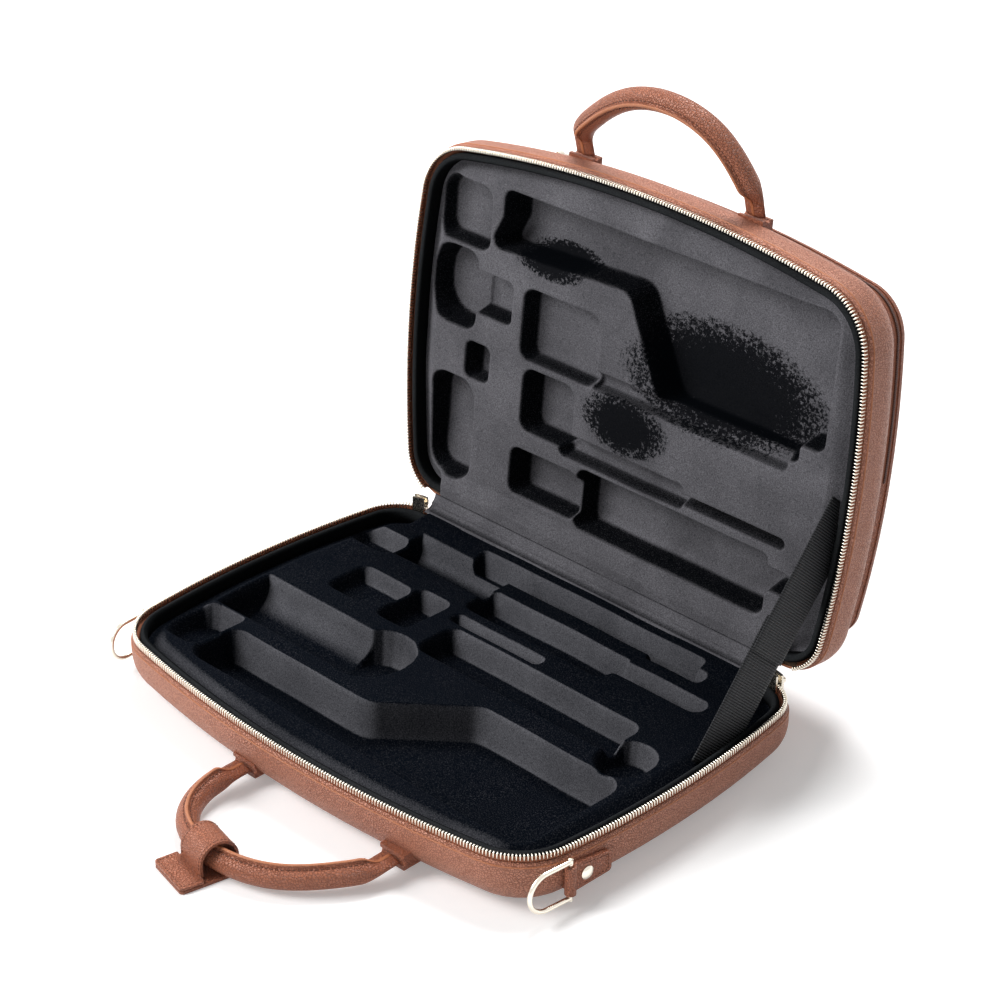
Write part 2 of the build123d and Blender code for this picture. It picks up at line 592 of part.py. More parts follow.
def make_pocket_slider():
    """Slider and pull of the pocket, on the bow of its far edge."""
    mid = -SHELL_DEPTH - POCKET_TAPE_DROP - POCKET_TAPE / 2
    radius = FRONT_RADIUS - POCKET_INSET + POCKET_LIP + SLIDER_FIT
    angle = -90 + degrees(POCKET_SLIDER_X / radius)
    face = radius + SLIDER_PLATE
    half_tall = (EAR_SPACING + EAR_THICK) / 2
    span = degrees(POCKET_SLIDER_LENGTH / radius)
    body = arc_bar(radius, face, mid - half_tall, mid + half_tall, angle, span)
    bar_x = face + BAIL_STAND
    across = Rot(0, 0, angle) * Pos(0, 0, mid) * Rot(90, 0, 0)
    body = body + across * bail(face - SLIDER_PLATE / 2, bar_x)
    centre = Pos(FRONT_CENTRE[0], FRONT_CENTRE[1], 0)
    pull = across * (Pos(bar_x, 0, 0) * hinged_pull(POCKET_PULL_LENGTH))
    write("pocket_slider", lid_place(centre * body))
    write("pocket_pull", lid_place(centre * pull))


def make_hinge():
    """Leather strip along the hinge: one bend from the edge of the base's leather to that of the lid's."""
    y = HALF_DEPTH + COVER_PROUD - LEATHER / 2
    z = SHELL_DEPTH - LEDGE_DROP
    end_y, end_z = turn_open(y, SHELL_DEPTH + ROW_GAP + LEDGE_DROP)
    radius = (end_y - y) / (1 - cos(radians(OPEN_ANGLE)))
    short = degrees(HINGE_END_FIT / radius)
    strip = Pos(0, y, z) * Rectangle(2 * BACK_TURN[0] - 4, LEATHER)
    bend = Axis((0, y + radius, z), (-1, 0, 0))
    write("hinge_gusset", revolve(strip, axis=bend, revolution_arc=OPEN_ANGLE - short))


def make_tag():
    """Luggage tag: a plate under the handle, and a band that loops over it and ends in a second plate."""
    local = Pos(TAG_X, HANDLE_Y - TAG_REACH, TAG_GROUND) * Rot(0, 0, TAG_TURN)
    low = rounded([(-TAG_WIDTH / 2, -TAG_FRONT), (TAG_WIDTH / 2, -TAG_FRONT), (TAG_WIDTH / 2, TAG_BACK),
                   (-TAG_WIDTH / 2, TAG_BACK)], 3)
    write("tag_plate", local * extrude(low, TAG_LEATHER))
    front = -TAG_ARCH - TAG_LEATHER
    window = Pos(0, (front - TAG_FRONT + 2) / 2, TAG_LEATHER + TAG_WINDOW / 2)
    write("tag_window", local * window * Box(TAG_WIDTH - 4, front + TAG_FRONT - 2, TAG_WINDOW))
    flap_z = TAG_LEATHER + TAG_WINDOW
    flap = rounded([(-TAG_WIDTH / 2, -TAG_FRONT), (TAG_WIDTH / 2, -TAG_FRONT), (TAG_WIDTH / 2, front, 1),
                    (-TAG_WIDTH / 2, front, 1)], 3)
    flap = extrude(Pos(0, 0, flap_z) * flap, TAG_LEATHER)
    outer = TAG_ARCH + TAG_LEATHER
    ring = Cylinder(outer, TAG_BAND) - Cylinder(TAG_ARCH, 2 * TAG_BAND)
    arch = Pos(0, 0, TAG_ARCH_Z) * Rot(0, 90, 0) * ring
    arch = arch - Pos(0, 0, TAG_ARCH_Z - 50) * Box(200, 200, 100)
    back = Pos(0, TAG_ARCH + TAG_LEATHER / 2, (TAG_ARCH_Z + TAG_LEATHER) / 2)
    back = back * Box(TAG_BAND, TAG_LEATHER, TAG_ARCH_Z - TAG_LEATHER)
    rise = Pos(0, front + TAG_LEATHER / 2, (TAG_ARCH_Z + flap_z) / 2)
    rise = rise * Box(TAG_BAND, TAG_LEATHER, TAG_ARCH_Z - flap_z)
    write("tag_band", local * (arch + back + rise + flap))


def main():
    os.makedirs("parts", exist_ok=True)
    make_shells()
    make_zip()
    make_handles()
    make_rings()
    make_sliders()
    make_pocket()
    make_pocket_slider()
    make_hinge()
    make_tag()


main()
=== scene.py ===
import bpy
import json
import numpy as np
from math import atan2, cos, degrees, hypot, pi, radians, sin, sqrt, tan
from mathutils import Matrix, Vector


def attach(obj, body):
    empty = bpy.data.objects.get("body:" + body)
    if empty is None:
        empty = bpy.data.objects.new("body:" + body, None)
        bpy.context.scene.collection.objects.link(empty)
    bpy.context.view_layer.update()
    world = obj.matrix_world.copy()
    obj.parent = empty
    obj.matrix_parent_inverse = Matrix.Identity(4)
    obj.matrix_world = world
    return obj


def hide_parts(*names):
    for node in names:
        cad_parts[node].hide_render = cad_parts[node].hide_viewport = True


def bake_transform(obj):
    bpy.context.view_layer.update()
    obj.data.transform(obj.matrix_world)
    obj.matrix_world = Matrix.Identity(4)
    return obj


# Double woodwind case: leather, zip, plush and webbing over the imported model. Shapes are worked out in mm.
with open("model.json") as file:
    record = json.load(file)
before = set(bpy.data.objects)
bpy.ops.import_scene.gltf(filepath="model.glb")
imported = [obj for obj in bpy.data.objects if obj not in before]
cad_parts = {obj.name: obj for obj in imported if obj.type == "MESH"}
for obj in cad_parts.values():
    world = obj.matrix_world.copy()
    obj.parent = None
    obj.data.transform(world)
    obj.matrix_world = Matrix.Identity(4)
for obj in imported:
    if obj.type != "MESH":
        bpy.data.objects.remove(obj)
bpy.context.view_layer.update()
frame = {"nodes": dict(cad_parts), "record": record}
nodes = frame["nodes"]
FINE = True

# Rim outline and shells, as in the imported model.
HALF_WIDTH, HALF_DEPTH, FRONT_BOW, SIDE_BOW = 210.0, 145.0, 23.0, 14.0
FRONT_CORNER, BACK_CORNER = 46.0, 33.0
SHELL_DEPTH, ROW_GAP, OPEN_ANGLE = 46.0, 2.4, 96.3
HINGE_Y, HINGE_Z = 150.5, 47.2
LEDGE = -9.0
GROOVE, LAND = -13.0, -6.0
SHOULDER_START, SHOULDER_END = 10.5, 24.0
COVER_OUT = 3.0
TOOTH_PITCH, COIL_PITCH = 2.4, 1.6


def circle_meet(c1, r1, c2, r2):
    """The meeting point of two circles that lies to the front right."""
    dx, dy = c2[0] - c1[0], c2[1] - c1[1]
    d = hypot(dx, dy)
    a = (r1 * r1 - r2 * r2 + d * d) / (2 * d)
    h = sqrt(r1 * r1 - a * a)
    px, py = c1[0] + a * dx / d, c1[1] + a * dy / d
    both = [(px - h * dy / d, py + h * dx / d), (px + h * dy / d, py - h * dx / d)]
    return max(both, key=lambda p: p[0] - p[1])


FRONT_RADIUS = (HALF_WIDTH**2 + FRONT_BOW**2) / (2 * FRONT_BOW)
FRONT_CENTRE = (0.0, FRONT_RADIUS - HALF_DEPTH)
SIDE_RADIUS = (HALF_DEPTH**2 + SIDE_BOW**2) / (2 * SIDE_BOW)
SIDE_CENTRE = (HALF_WIDTH - SIDE_RADIUS, 0.0)
FRONT_TURN = circle_meet(FRONT_CENTRE, FRONT_RADIUS - FRONT_CORNER, SIDE_CENTRE, SIDE_RADIUS - FRONT_CORNER)
BACK_TURN_Y = HALF_DEPTH - BACK_CORNER
BACK_TURN = (SIDE_CENTRE[0] + sqrt((SIDE_RADIUS - BACK_CORNER)**2 - BACK_TURN_Y**2), BACK_TURN_Y)
FRONT_ANGLE = degrees(atan2(FRONT_TURN[1] - FRONT_CENTRE[1], FRONT_TURN[0]))
SIDE_START = degrees(atan2(FRONT_TURN[1], FRONT_TURN[0] - SIDE_CENTRE[0]))
SIDE_END = degrees(atan2(BACK_TURN[1], BACK_TURN[0] - SIDE_CENTRE[0]))


def rim(step, first=90.0, closed=False):
    """Rows of x, y, outward nx, ny and run length along the line of the teeth, right hinge end to left."""
    half = [
        (BACK_TURN, BACK_CORNER, first, SIDE_END),
        (SIDE_CENTRE, SIDE_RADIUS, SIDE_END, SIDE_START),
        (FRONT_TURN, FRONT_CORNER, SIDE_START, FRONT_ANGLE),
        (FRONT_CENTRE, FRONT_RADIUS, FRONT_ANGLE, -90.0),
    ]
    rows = []
    for centre, radius, start, end in half:
        count = max(2, round(radians(start - end) * radius / step))
        for k in range(count):
            a = radians(start + (end - start) * k / count)
            rows.append((centre[0] + radius * cos(a), centre[1] + radius * sin(a), cos(a), sin(a)))
    rows.append((0.0, -HALF_DEPTH, 0.0, -1.0))
    rows += [(-x, y, -nx, ny) for x, y, nx, ny in reversed(rows[:-1])]
    if closed:
        count = max(2, round(2 * BACK_TURN[0] / step))
        for k in range(1, count):
            rows.append((-BACK_TURN[0] + 2 * BACK_TURN[0] * k / count, HALF_DEPTH, 0.0, 1.0))
    line = np.array(rows)
    run = np.concatenate([[0.0], np.cumsum(np.hypot(*np.diff(line[:, :2], axis=0).T))])
    return np.column_stack([line, run])


def even_places(line, pitch):
    """Places exactly one pitch apart along a rim line."""
    at = np.arange(pitch / 2, line[-1, 4], pitch)
    cols = [np.interp(at, line[:, 4], line[:, k]) for k in range(4)]
    size = np.hypot(cols[2], cols[3])
    return np.column_stack([cols[0], cols[1], cols[2] / size, cols[3] / size, at])


def in_row(points):
    return np.asarray(points, float)


def in_base(points):
    return np.asarray(points, float) + (0.0, 0.0, SHELL_DEPTH)


def turn_open(y, z):
    a = radians(-OPEN_ANGLE)
    dy, dz = y - HINGE_Y, z - HINGE_Z
    return HINGE_Y + dy * cos(a) - dz * sin(a), HINGE_Z + dy * sin(a) + dz * cos(a)


def in_lid(points):
    p = np.asarray(points, float)
    y, z = turn_open(p[:, 1], SHELL_DEPTH + ROW_GAP - p[:, 2])
    return np.column_stack([p[:, 0], y, z])


PLACES = {"base": in_base, "lid": in_lid}


def piece(name, points, faces, finish, body, place=in_row, uv=None, smooth=True, stands_for=()):
    """A mesh piece from points in mm; place puts a shell's pieces in the base or the open lid."""
    co = place(points) / 1000.0
    if place is in_lid:
        faces = [tuple(reversed(f)) for f in faces]
    mesh = bpy.data.meshes.new(name)
    mesh.from_pydata(co.tolist(), [], faces)
    if uv is not None:
        uv = np.asarray(uv, float) / 1000.0
        index = np.zeros(len(mesh.loops), np.int32)
        mesh.loops.foreach_get("vertex_index", index)
        mesh.uv_layers.new(name="run").data.foreach_set("uv", uv[index].ravel())
    mesh.polygons.foreach_set("use_smooth", [smooth] * len(mesh.polygons))
    mesh.materials.append(finish)
    mesh.validate()
    mesh.update()
    obj = bpy.data.objects.new(name, mesh)
    bpy.context.scene.collection.objects.link(obj)
    if isinstance(body, str):
        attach(obj, body)
    if stands_for:
        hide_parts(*stands_for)
    return obj


def grid_faces(rows, cols, wrap_rows=False, wrap_cols=False):
    r = np.arange(rows if wrap_rows else rows - 1)
    c = np.arange(cols if wrap_cols else cols - 1)
    R, C = np.meshgrid(r, c, indexing="ij")
    R2, C2 = (R + 1) % rows, (C + 1) % cols
    quads = np.stack([R * cols + C, R * cols + C2, R2 * cols + C2, R2 * cols + C], -1)
    return [tuple(q) for q in quads.reshape(-1, 4).tolist()]


def tube_faces(rows, cols):
    """Faces of a tube of rows of cols points, with a flat end at its first and last row."""
    ends = [tuple(range(cols - 1, -1, -1)), tuple((rows - 1) * cols + k for k in range(cols))]
    return grid_faces(rows, cols, wrap_cols=True) + ends


def sweep_rim(line, profile, closed):
    """Points, faces and run/width coordinates of a closed profile (inset, z) carried along a rim line."""
    prof = np.array(profile)
    rows, cols = len(line), len(prof)
    x = line[:, None, 0] - prof[None, :, 0] * line[:, None, 2]
    y = line[:, None, 1] - prof[None, :, 0] * line[:, None, 3]
    z = np.broadcast_to(prof[None, :, 1], (rows, cols))
    points = np.stack([x, y, z], -1).reshape(-1, 3)
    across = np.concatenate([[0], np.cumsum(np.hypot(*np.diff(prof, axis=0).T))])
    uv = np.stack([np.broadcast_to(line[:, None, 4], (rows, cols)),
                   np.broadcast_to(across[None, :], (rows, cols))], -1).reshape(-1, 2)
    faces = grid_faces(rows, cols, wrap_rows=True, wrap_cols=True) if closed else tube_faces(rows, cols)
    return points, faces, uv


def copies(template, faces, places):
    """Many copies of one small shape: its points are (out, along, up) at each rim place."""
    t = np.array(template)
    nx, ny = places[:, None, 2], places[:, None, 3]
    x = places[:, None, 0] + t[None, :, 0] * nx - t[None, :, 1] * ny
    y = places[:, None, 1] + t[None, :, 0] * ny + t[None, :, 1] * nx
    z = np.broadcast_to(t[None, :, 2], x.shape)
    points = np.stack([x, y, z], -1).reshape(-1, 3)
    every = [tuple(i + k * len(t) for i in f) for k in range(len(places)) for f in faces]
    return points, every


def smoothstep(t):
    t = np.clip(t, 0.0, 1.0)
    return t * t * (3 - 2 * t)


# Shader groups: what more than one finish uses.
def new_group(name, inputs, outputs):
    tree = bpy.data.node_groups.new(name, "ShaderNodeTree")
    for label, kind, value in inputs:
        socket = tree.interface.new_socket(name=label, in_out="INPUT", socket_type=kind)
        if value is not None:
            socket.default_value = value
    for label, kind in outputs:
        tree.interface.new_socket(name=label, in_out="OUTPUT", socket_type=kind)
    return tree, tree.nodes.new("NodeGroupInput"), tree.nodes.new("NodeGroupOutput")


def node(tree, kind, links=None, **values):
    n = tree.nodes.new(kind)
    for key, value in values.items():
        if hasattr(n, key) and key not in n.inputs:
            setattr(n, key, value)
        else:
            n.inputs[key].default_value = value
    for key, source in (links or {}).items():
        tree.links.new(source, n.inputs[key])
    return n


def maths(tree, operation, a, b=None, clamp=False):
    n = tree.nodes.new("ShaderNodeMath")
    n.operation = operation
    n.use_clamp = clamp
    for k, value in enumerate((a, b)):
        if value is None:
            continue
        if isinstance(value, (int, float)):
            n.inputs[k].default_value = value
        else:
            tree.links.new(value, n.inputs[k])
    return n.outputs[0]


def spread(tree, value, low, high, to_low=0.0, to_high=1.0):
    """A value taken from one range to another, and held at its ends."""
    n = node(tree, "ShaderNodeMapRange", {"Value": value})
    for key, number in (("From Min", low), ("From Max", high), ("To Min", to_low), ("To Max", to_high)):
        n.inputs[key].default_value = number
    return n


FLOAT, VECTOR = "NodeSocketFloat", "NodeSocketVector"


def make_pebble_group():
    """Pebbled leather: rounded cells with fine creases, and larger soft unevenness."""
    tree, ins, outs = new_group("pebble_grain", [("Vector", VECTOR, None), ("Cell", FLOAT, 600.0)],
                                [("Height", FLOAT), ("Crease", FLOAT), ("Patch", FLOAT)])
    warp = node(tree, "ShaderNodeTexNoise", {"Vector": ins.outputs["Vector"]}, Scale=260.0, Detail=2.0)
    shift = node(tree, "ShaderNodeVectorMath", {0: warp.outputs["Color"]}, operation="SCALE")
    shift.inputs["Scale"].default_value = 0.0016
    moved = node(tree, "ShaderNodeVectorMath", {0: ins.outputs["Vector"], 1: shift.outputs[0]}, operation="ADD")
    cells = node(tree, "ShaderNodeTexVoronoi", {"Vector": moved.outputs[0], "Scale": ins.outputs["Cell"]},
                 feature="DISTANCE_TO_EDGE")
    crease = spread(tree, cells.outputs["Distance"], 0.0, 0.16)
    fine = node(tree, "ShaderNodeTexNoise", {"Vector": ins.outputs["Vector"]}, Scale=2600.0, Detail=3.0)
    patch = node(tree, "ShaderNodeTexNoise", {"Vector": ins.outputs["Vector"]}, Scale=14.0, Detail=3.0)
    height = maths(tree, "ADD", crease.outputs[0], maths(tree, "MULTIPLY", fine.outputs["Fac"], 0.25))
    tree.links.new(height, outs.inputs["Height"])
    tree.links.new(crease.outputs[0], outs.inputs["Crease"])
    tree.links.new(patch.outputs["Fac"], outs.inputs["Patch"])
    return tree


def make_pile_group():
    """Short pile: a fine speckle, and softly brushed patches."""
    tree, ins, outs = new_group("short_pile", [("Vector", VECTOR, None), ("Speck", FLOAT, 1200.0)],
                                [("Height", FLOAT), ("Speckle", FLOAT), ("Brushed", FLOAT)])
    speck = node(tree, "ShaderNodeTexNoise", {"Vector": ins.outputs["Vector"], "Scale": ins.outputs["Speck"]},
                 Detail=2.0, Roughness=0.65)
    sharp = spread(tree, speck.outputs["Fac"], 0.26, 0.74)
    brushed = node(tree, "ShaderNodeTexNoise", {"Vector": ins.outputs["Vector"]}, Scale=16.0, Detail=4.0,
                   Distortion=0.6)
    soft = spread(tree, brushed.outputs["Fac"], 0.38, 0.64)
    tree.links.new(speck.outputs["Fac"], outs.inputs["Height"])
    tree.links.new(sharp.outputs[0], outs.inputs["Speckle"])
    tree.links.new(soft.outputs[0], outs.inputs["Brushed"])
    return tree


def make_weave_group():
    """Ribs across a band, with a fine thread along each; u runs along the band."""
    tree, ins, outs = new_group("ribbed_weave", [("Vector", VECTOR, None), ("Ribs", FLOAT, 700.0),
                                                 ("Threads", FLOAT, 900.0), ("Slant", FLOAT, 0.0)],
                                [("Height", FLOAT), ("Valley", FLOAT)])
    split = node(tree, "ShaderNodeSeparateXYZ", {0: ins.outputs["Vector"]})
    lean = maths(tree, "MULTIPLY", split.outputs["Y"], ins.outputs["Slant"])
    along = maths(tree, "MULTIPLY", maths(tree, "ADD", split.outputs["X"], lean), ins.outputs["Ribs"])
    rib = maths(tree, "ABSOLUTE", maths(tree, "SINE", maths(tree, "MULTIPLY", along, pi)))
    across = maths(tree, "MULTIPLY", split.outputs["Y"], ins.outputs["Threads"])
    thread = maths(tree, "ABSOLUTE", maths(tree, "SINE", maths(tree, "MULTIPLY", across, pi)))
    height = maths(tree, "ADD", rib, maths(tree, "MULTIPLY", thread, 0.22))
    valley = maths(tree, "LESS_THAN", rib, 0.34)
    tree.links.new(height, outs.inputs["Height"])
    tree.links.new(valley, outs.inputs["Valley"])
    return tree


PEBBLE = make_pebble_group()
PILE = make_pile_group()
WEAVE = make_weave_group()


def finish(name, roughness, metallic=0.0):
    material = bpy.data.materials.new(name)
    material.use_nodes = True
    tree = material.node_tree
    shader = tree.nodes["Principled BSDF"]
    shader.inputs["Roughness"].default_value = roughness
    shader.inputs["Metallic"].default_value = metallic
    return material, tree, shader


def grouped(tree, group, vector, **values):
    n = tree.nodes.new("ShaderNodeGroup")
    n.node_tree = group
    tree.links.new(vector, n.inputs["Vector"])
    for key, value in values.items():
        n.inputs[key].default_value = value
    return n


def mixed(tree, factor, a, b):
    n = tree.nodes.new("ShaderNodeMix")
    n.data_type = "RGBA"
    tree.links.new(factor, n.inputs[0])
    for k, value in ((6, a), (7, b)):
        if isinstance(value, tuple):
            n.inputs[k].default_value = (*value, 1.0)
        else:
            tree.links.new(value, n.inputs[k])
    return n.outputs[2]


def bumped(tree, shader, height, strength, distance):
    bump = node(tree, "ShaderNodeBump", {"Height": height}, Strength=strength, Distance=distance)
    tree.links.new(bump.outputs[0], shader.inputs["Normal"])


def leather(name, light, dark, crease, cell=540.0, roughness=0.42, depth=0.0009):
    material, tree, shader = finish(name, roughness)
    where = node(tree, "ShaderNodeTexCoord")
    grain = grouped(tree, PEBBLE, where.outputs["Object"], Cell=cell)
    tone = mixed(tree, grain.outputs["Patch"], dark, light)
    tone = mixed(tree, grain.outputs["Crease"], crease, tone)
    tree.links.new(tone, shader.inputs["Base Color"])
    rough = maths(tree, "ADD", maths(tree, "MULTIPLY", grain.outputs["Crease"], -0.12), roughness + 0.14)
    tree.links.new(rough, shader.inputs["Roughness"])
    bumped(tree, shader, grain.outputs["Height"], 0.8, depth)
    return material


def plush(name, lit, dim, painted_light_dir, low=0.12, high=0.72, patches=()):
    """Velvet with painted light: faces turned towards the given direction are painted greyer and the others
    nearly black, partly for the pile's nap and partly as painted light and shade from the front.
    """
    material, tree, shader = finish(name, 0.95)
    where = node(tree, "ShaderNodeTexCoord")
    pile = grouped(tree, PILE, where.outputs["Object"])
    # Painted light and shade: the colour goes greyer as a face turns towards the front light, and nearly black
    # as it turns up or away.
    facing = node(tree, "ShaderNodeVectorMath", {0: where.outputs["Normal"]}, operation="DOT_PRODUCT")
    facing.inputs[1].default_value = painted_light_dir
    turned = spread(tree, facing.outputs["Value"], low, high)
    turned.interpolation_type = "SMOOTHSTEP"
    loose = maths(tree, "MULTIPLY", maths(tree, "SUBTRACT", pile.outputs["Height"], 0.5), 0.9)
    soft_edge = maths(tree, "MULTIPLY", maths(tree, "SUBTRACT", 1.0, turned.outputs[0]), loose)
    painted_front_light = maths(tree, "ADD", turned.outputs[0], soft_edge, clamp=True)
    brushed = maths(tree, "ADD", maths(tree, "MULTIPLY", pile.outputs["Brushed"], 0.30), 0.70)
    amount = maths(tree, "MULTIPLY", painted_front_light, brushed)
    for centre, turn, size in patches:
        amount = maths(tree, "MULTIPLY", amount, brushed_patch(tree, where, centre, turn, size))
    speckle = maths(tree, "ADD", maths(tree, "MULTIPLY", pile.outputs["Speckle"], 0.90), 0.30)
    amount = maths(tree, "MULTIPLY", amount, speckle, clamp=True)
    tree.links.new(mixed(tree, amount, dim, lit), shader.inputs["Base Color"])
    shader.inputs["Specular IOR Level"].default_value = 0.02
    bumped(tree, shader, pile.outputs["Height"], 0.6, 0.0005)
    return material


def brushed_patch(tree, where, centre, turn, size):
    """A patch whose pile is brushed the other way: an oval with a grainy edge, given on the open lid in mm."""
    place = node(tree, "ShaderNodeMapping", {"Vector": where.outputs["Object"]}, vector_type="TEXTURE")
    place.inputs["Location"].default_value = [c / 1000 for c in centre]
    place.inputs["Rotation"].default_value = (0.0, radians(turn), 0.0)
    place.inputs["Scale"].default_value = [c / 1000 for c in size]
    oval = node(tree, "ShaderNodeTexGradient", {"Vector": place.outputs[0]}, gradient_type="SPHERICAL")
    tufts = node(tree, "ShaderNodeTexNoise", {"Vector": where.outputs["Object"]}, Scale=380.0, Detail=5.0,
                 Roughness=0.8)
    grainy = maths(tree, "MULTIPLY", maths(tree, "SUBTRACT", tufts.outputs["Fac"], 0.5), 2.2)
    near = maths(tree, "MULTIPLY", oval.outputs["Fac"], 4.0, clamp=True)
    grainy = maths(tree, "MULTIPLY", grainy, near)
    return spread(tree, maths(tree, "ADD", oval.outputs["Fac"], grainy), 0.12, 0.26, 1.0, 0.05).outputs[0]


def woven(name, light, dark, ribs, threads, slant, roughness=0.7, depth=0.0005):
    material, tree, shader = finish(name, roughness)
    run = node(tree, "ShaderNodeUVMap", uv_map="run")
    weave = grouped(tree, WEAVE, run.outputs[0], Ribs=ribs, Threads=threads, Slant=slant)
    tree.links.new(mixed(tree, weave.outputs["Valley"], light, dark), shader.inputs["Base Color"])
    shader.inputs["Specular IOR Level"].default_value = 0.3
    bumped(tree, shader, weave.outputs["Height"], 0.8, depth)
    return material


def metal(name, colour, roughness):
    material, tree, shader = finish(name, roughness, 1.0)
    where = node(tree, "ShaderNodeTexCoord")
    rub = node(tree, "ShaderNodeTexNoise", {"Vector": where.outputs["Object"]}, Scale=420.0, Detail=3.0)
    shader.inputs["Base Color"].default_value = (*colour, 1.0)
    tree.links.new(maths(tree, "ADD", maths(tree, "MULTIPLY", rub.outputs["Fac"], 0.14), roughness - 0.07),
                   shader.inputs["Roughness"])
    return material


# Patches of the lid's plush brushed the other way: centre, turn and half sizes on the open lid.
LID_PATCHES = [
    ((72, 200, 216), 0, (104, 44, 50)),
    ((-78, 200, 262), 0, (42, 44, 13)),
    ((6, 168, 172), 0, (48, 14, 28)),
]
COVER_LEATHER = leather("cover_leather", (0.540, 0.225, 0.140), (0.470, 0.182, 0.108), (0.300, 0.100, 0.054))
EDGE_LEATHER = leather("edge_leather", (0.440, 0.150, 0.076), (0.350, 0.108, 0.052), (0.265, 0.078, 0.037),
                       cell=560.0, roughness=0.36)
POCKET_LEATHER = leather("pocket_leather", (0.400, 0.135, 0.068), (0.330, 0.102, 0.050), (0.240, 0.070, 0.034))
PAINTED_EDGE = leather("painted_edge", (0.520, 0.190, 0.080), (0.430, 0.145, 0.060), (0.400, 0.135, 0.055),
                       cell=1500.0, roughness=0.34, depth=0.0001)
# The base's plush is the same cloth as the lid's, painted darker as painted shade. Each direction below is where
# that plush's painted light comes from.
BASE_PLUSH = plush("base_plush", (0.128, 0.128, 0.142), (0.0009, 0.0020, 0.0042), (-0.25, -0.95, 0.05),
                   low=0.36, high=0.82)
LID_PLUSH = plush("lid_plush", (0.168, 0.164, 0.180), (0.0012, 0.0018, 0.0028), (-0.30, -0.95, 0.05),
                  patches=LID_PATCHES)
BEAD_PLUSH = plush("bead_plush", (0.026, 0.028, 0.030), (0.004, 0.0045, 0.005), (-0.3, -0.8, 0.5))
ZIP_TAPE = woven("zip_tape", (0.400, 0.142, 0.074), (0.230, 0.078, 0.040), 1000.0, 1400.0, 0.9)
WEBBING = woven("webbing", (0.027, 0.028, 0.031), (0.004, 0.004, 0.005), 560.0, 260.0, 0.0, 0.60, 0.0012)
THREAD = leather("thread", (0.150, 0.046, 0.022), (0.110, 0.034, 0.016), (0.090, 0.028, 0.014), cell=2500.0,
                 roughness=0.5, depth=0.0001)
ZIP_METAL = metal("zip_metal", (0.820, 0.760, 0.660), 0.26)
RING_METAL = metal("ring_metal", (0.850, 0.790, 0.680), 0.18)
ZIP_COIL = leather("zip_coil", (0.130, 0.044, 0.028), (0.095, 0.030, 0.019), (0.070, 0.022, 0.014),
                   cell=2200.0, roughness=0.36, depth=0.0001)
BOARD = leather("board", (0.120, 0.070, 0.040), (0.090, 0.050, 0.028), (0.070, 0.040, 0.022), cell=900.0,
                roughness=0.8)
ROPE = leather("rope", (0.420, 0.330, 0.220), (0.330, 0.250, 0.160), (0.200, 0.150, 0.090), cell=800.0,
               roughness=0.85)
SLEEVE, sleeve_tree, sleeve_shader = finish("clear_sleeve", 0.12)
sleeve_where = node(sleeve_tree, "ShaderNodeTexCoord")
sleeve_noise = node(sleeve_tree, "ShaderNodeTexNoise", {"Vector": sleeve_where.outputs["Object"]}, Scale=90.0)
sleeve_tree.links.new(mixed(sleeve_tree, sleeve_noise.outputs["Fac"], (0.30, 0.28, 0.24), (0.62, 0.60, 0.55)),
                      sleeve_shader.inputs["Base Color"])

FINISHES = {
    "cover_leather": COVER_LEATHER, "edge_leather": EDGE_LEATHER, "board": BOARD, "plush": BEAD_PLUSH,
    "zip_tape": ZIP_TAPE, "zip_metal": ZIP_METAL, "zip_coil": ZIP_COIL, "ring_metal": RING_METAL,
    "webbing": WEBBING, "rope": ROPE, "clear_sleeve": SLEEVE,
}


def dress_nodes():
    """Gives each kept node its finish, and a small bevel where its edges would be cut leather or cast metal."""
    slots = {s["node"]: s["material_slot"] for s in frame["record"]["subparts"]}
    bevels = {"tag_plate": 0.4, "tag_band": 0.4, "base_handle_seats": 0.8, "lid_handle_seats": 0.8,
              "ring_tab_right": 0.5, "ring_tab_left": 0.5, "zip_slider_right": 0.25, "zip_slider_left": 0.25,
              "zip_pull_right": 0.3, "zip_pull_left": 0.3, "pocket_slider": 0.25, "pocket_pull": 0.3,
              "tag_window": 0.15}
    for name, obj in nodes.items():
        finish_now = FINISHES[slots[name]]
        if name.startswith("pocket_") and slots[name].endswith("leather"):
            finish_now = POCKET_LEATHER
        obj.data.materials.clear()
        obj.data.materials.append(finish_now)
        if name in bevels:
            bevel = obj.modifiers.new("softened_edges", "BEVEL")
            bevel.width = bevels[name] / 1000.0
            bevel.segments = 2
            bevel.limit_method = "ANGLE"
            bevel.angle_limit = radians(40)


def rounded(points, radius, steps=5):
    """Points round a closed outline with rounded corners. A third number is a corner's own radius."""
    out = []
    for i, point in enumerate(points):
        before, after = points[i - 1], points[(i + 1) % len(points)]
        r = point[2] if len(point) > 2 else radius
        p = np.array(point[:2], float)
        u, w = np.array(before[:2]) - p, np.array(after[:2]) - p
        lu, lw = np.linalg.norm(u), np.linalg.norm(w)
        u, w = u / lu, w / lw
        half = np.arccos(np.clip(u @ w, -1, 1)) / 2
        reach = min(r / tan(half), 0.49 * lu, 0.49 * lw)
        r = reach * tan(half)
        mid = (u + w) / np.linalg.norm(u + w)
        centre = p + mid * r / sin(half)
        a, b = p + u * reach - centre, p + w * reach - centre
        t0, t1 = atan2(a[1], a[0]), atan2(b[1], b[0])
        turn = (t1 - t0 + pi) % (2 * pi) - pi
        for k in range(steps + 1):
            t = t0 + turn * k / steps
            out.append(centre + r * np.array([cos(t), sin(t)]))
    return np.array(out)


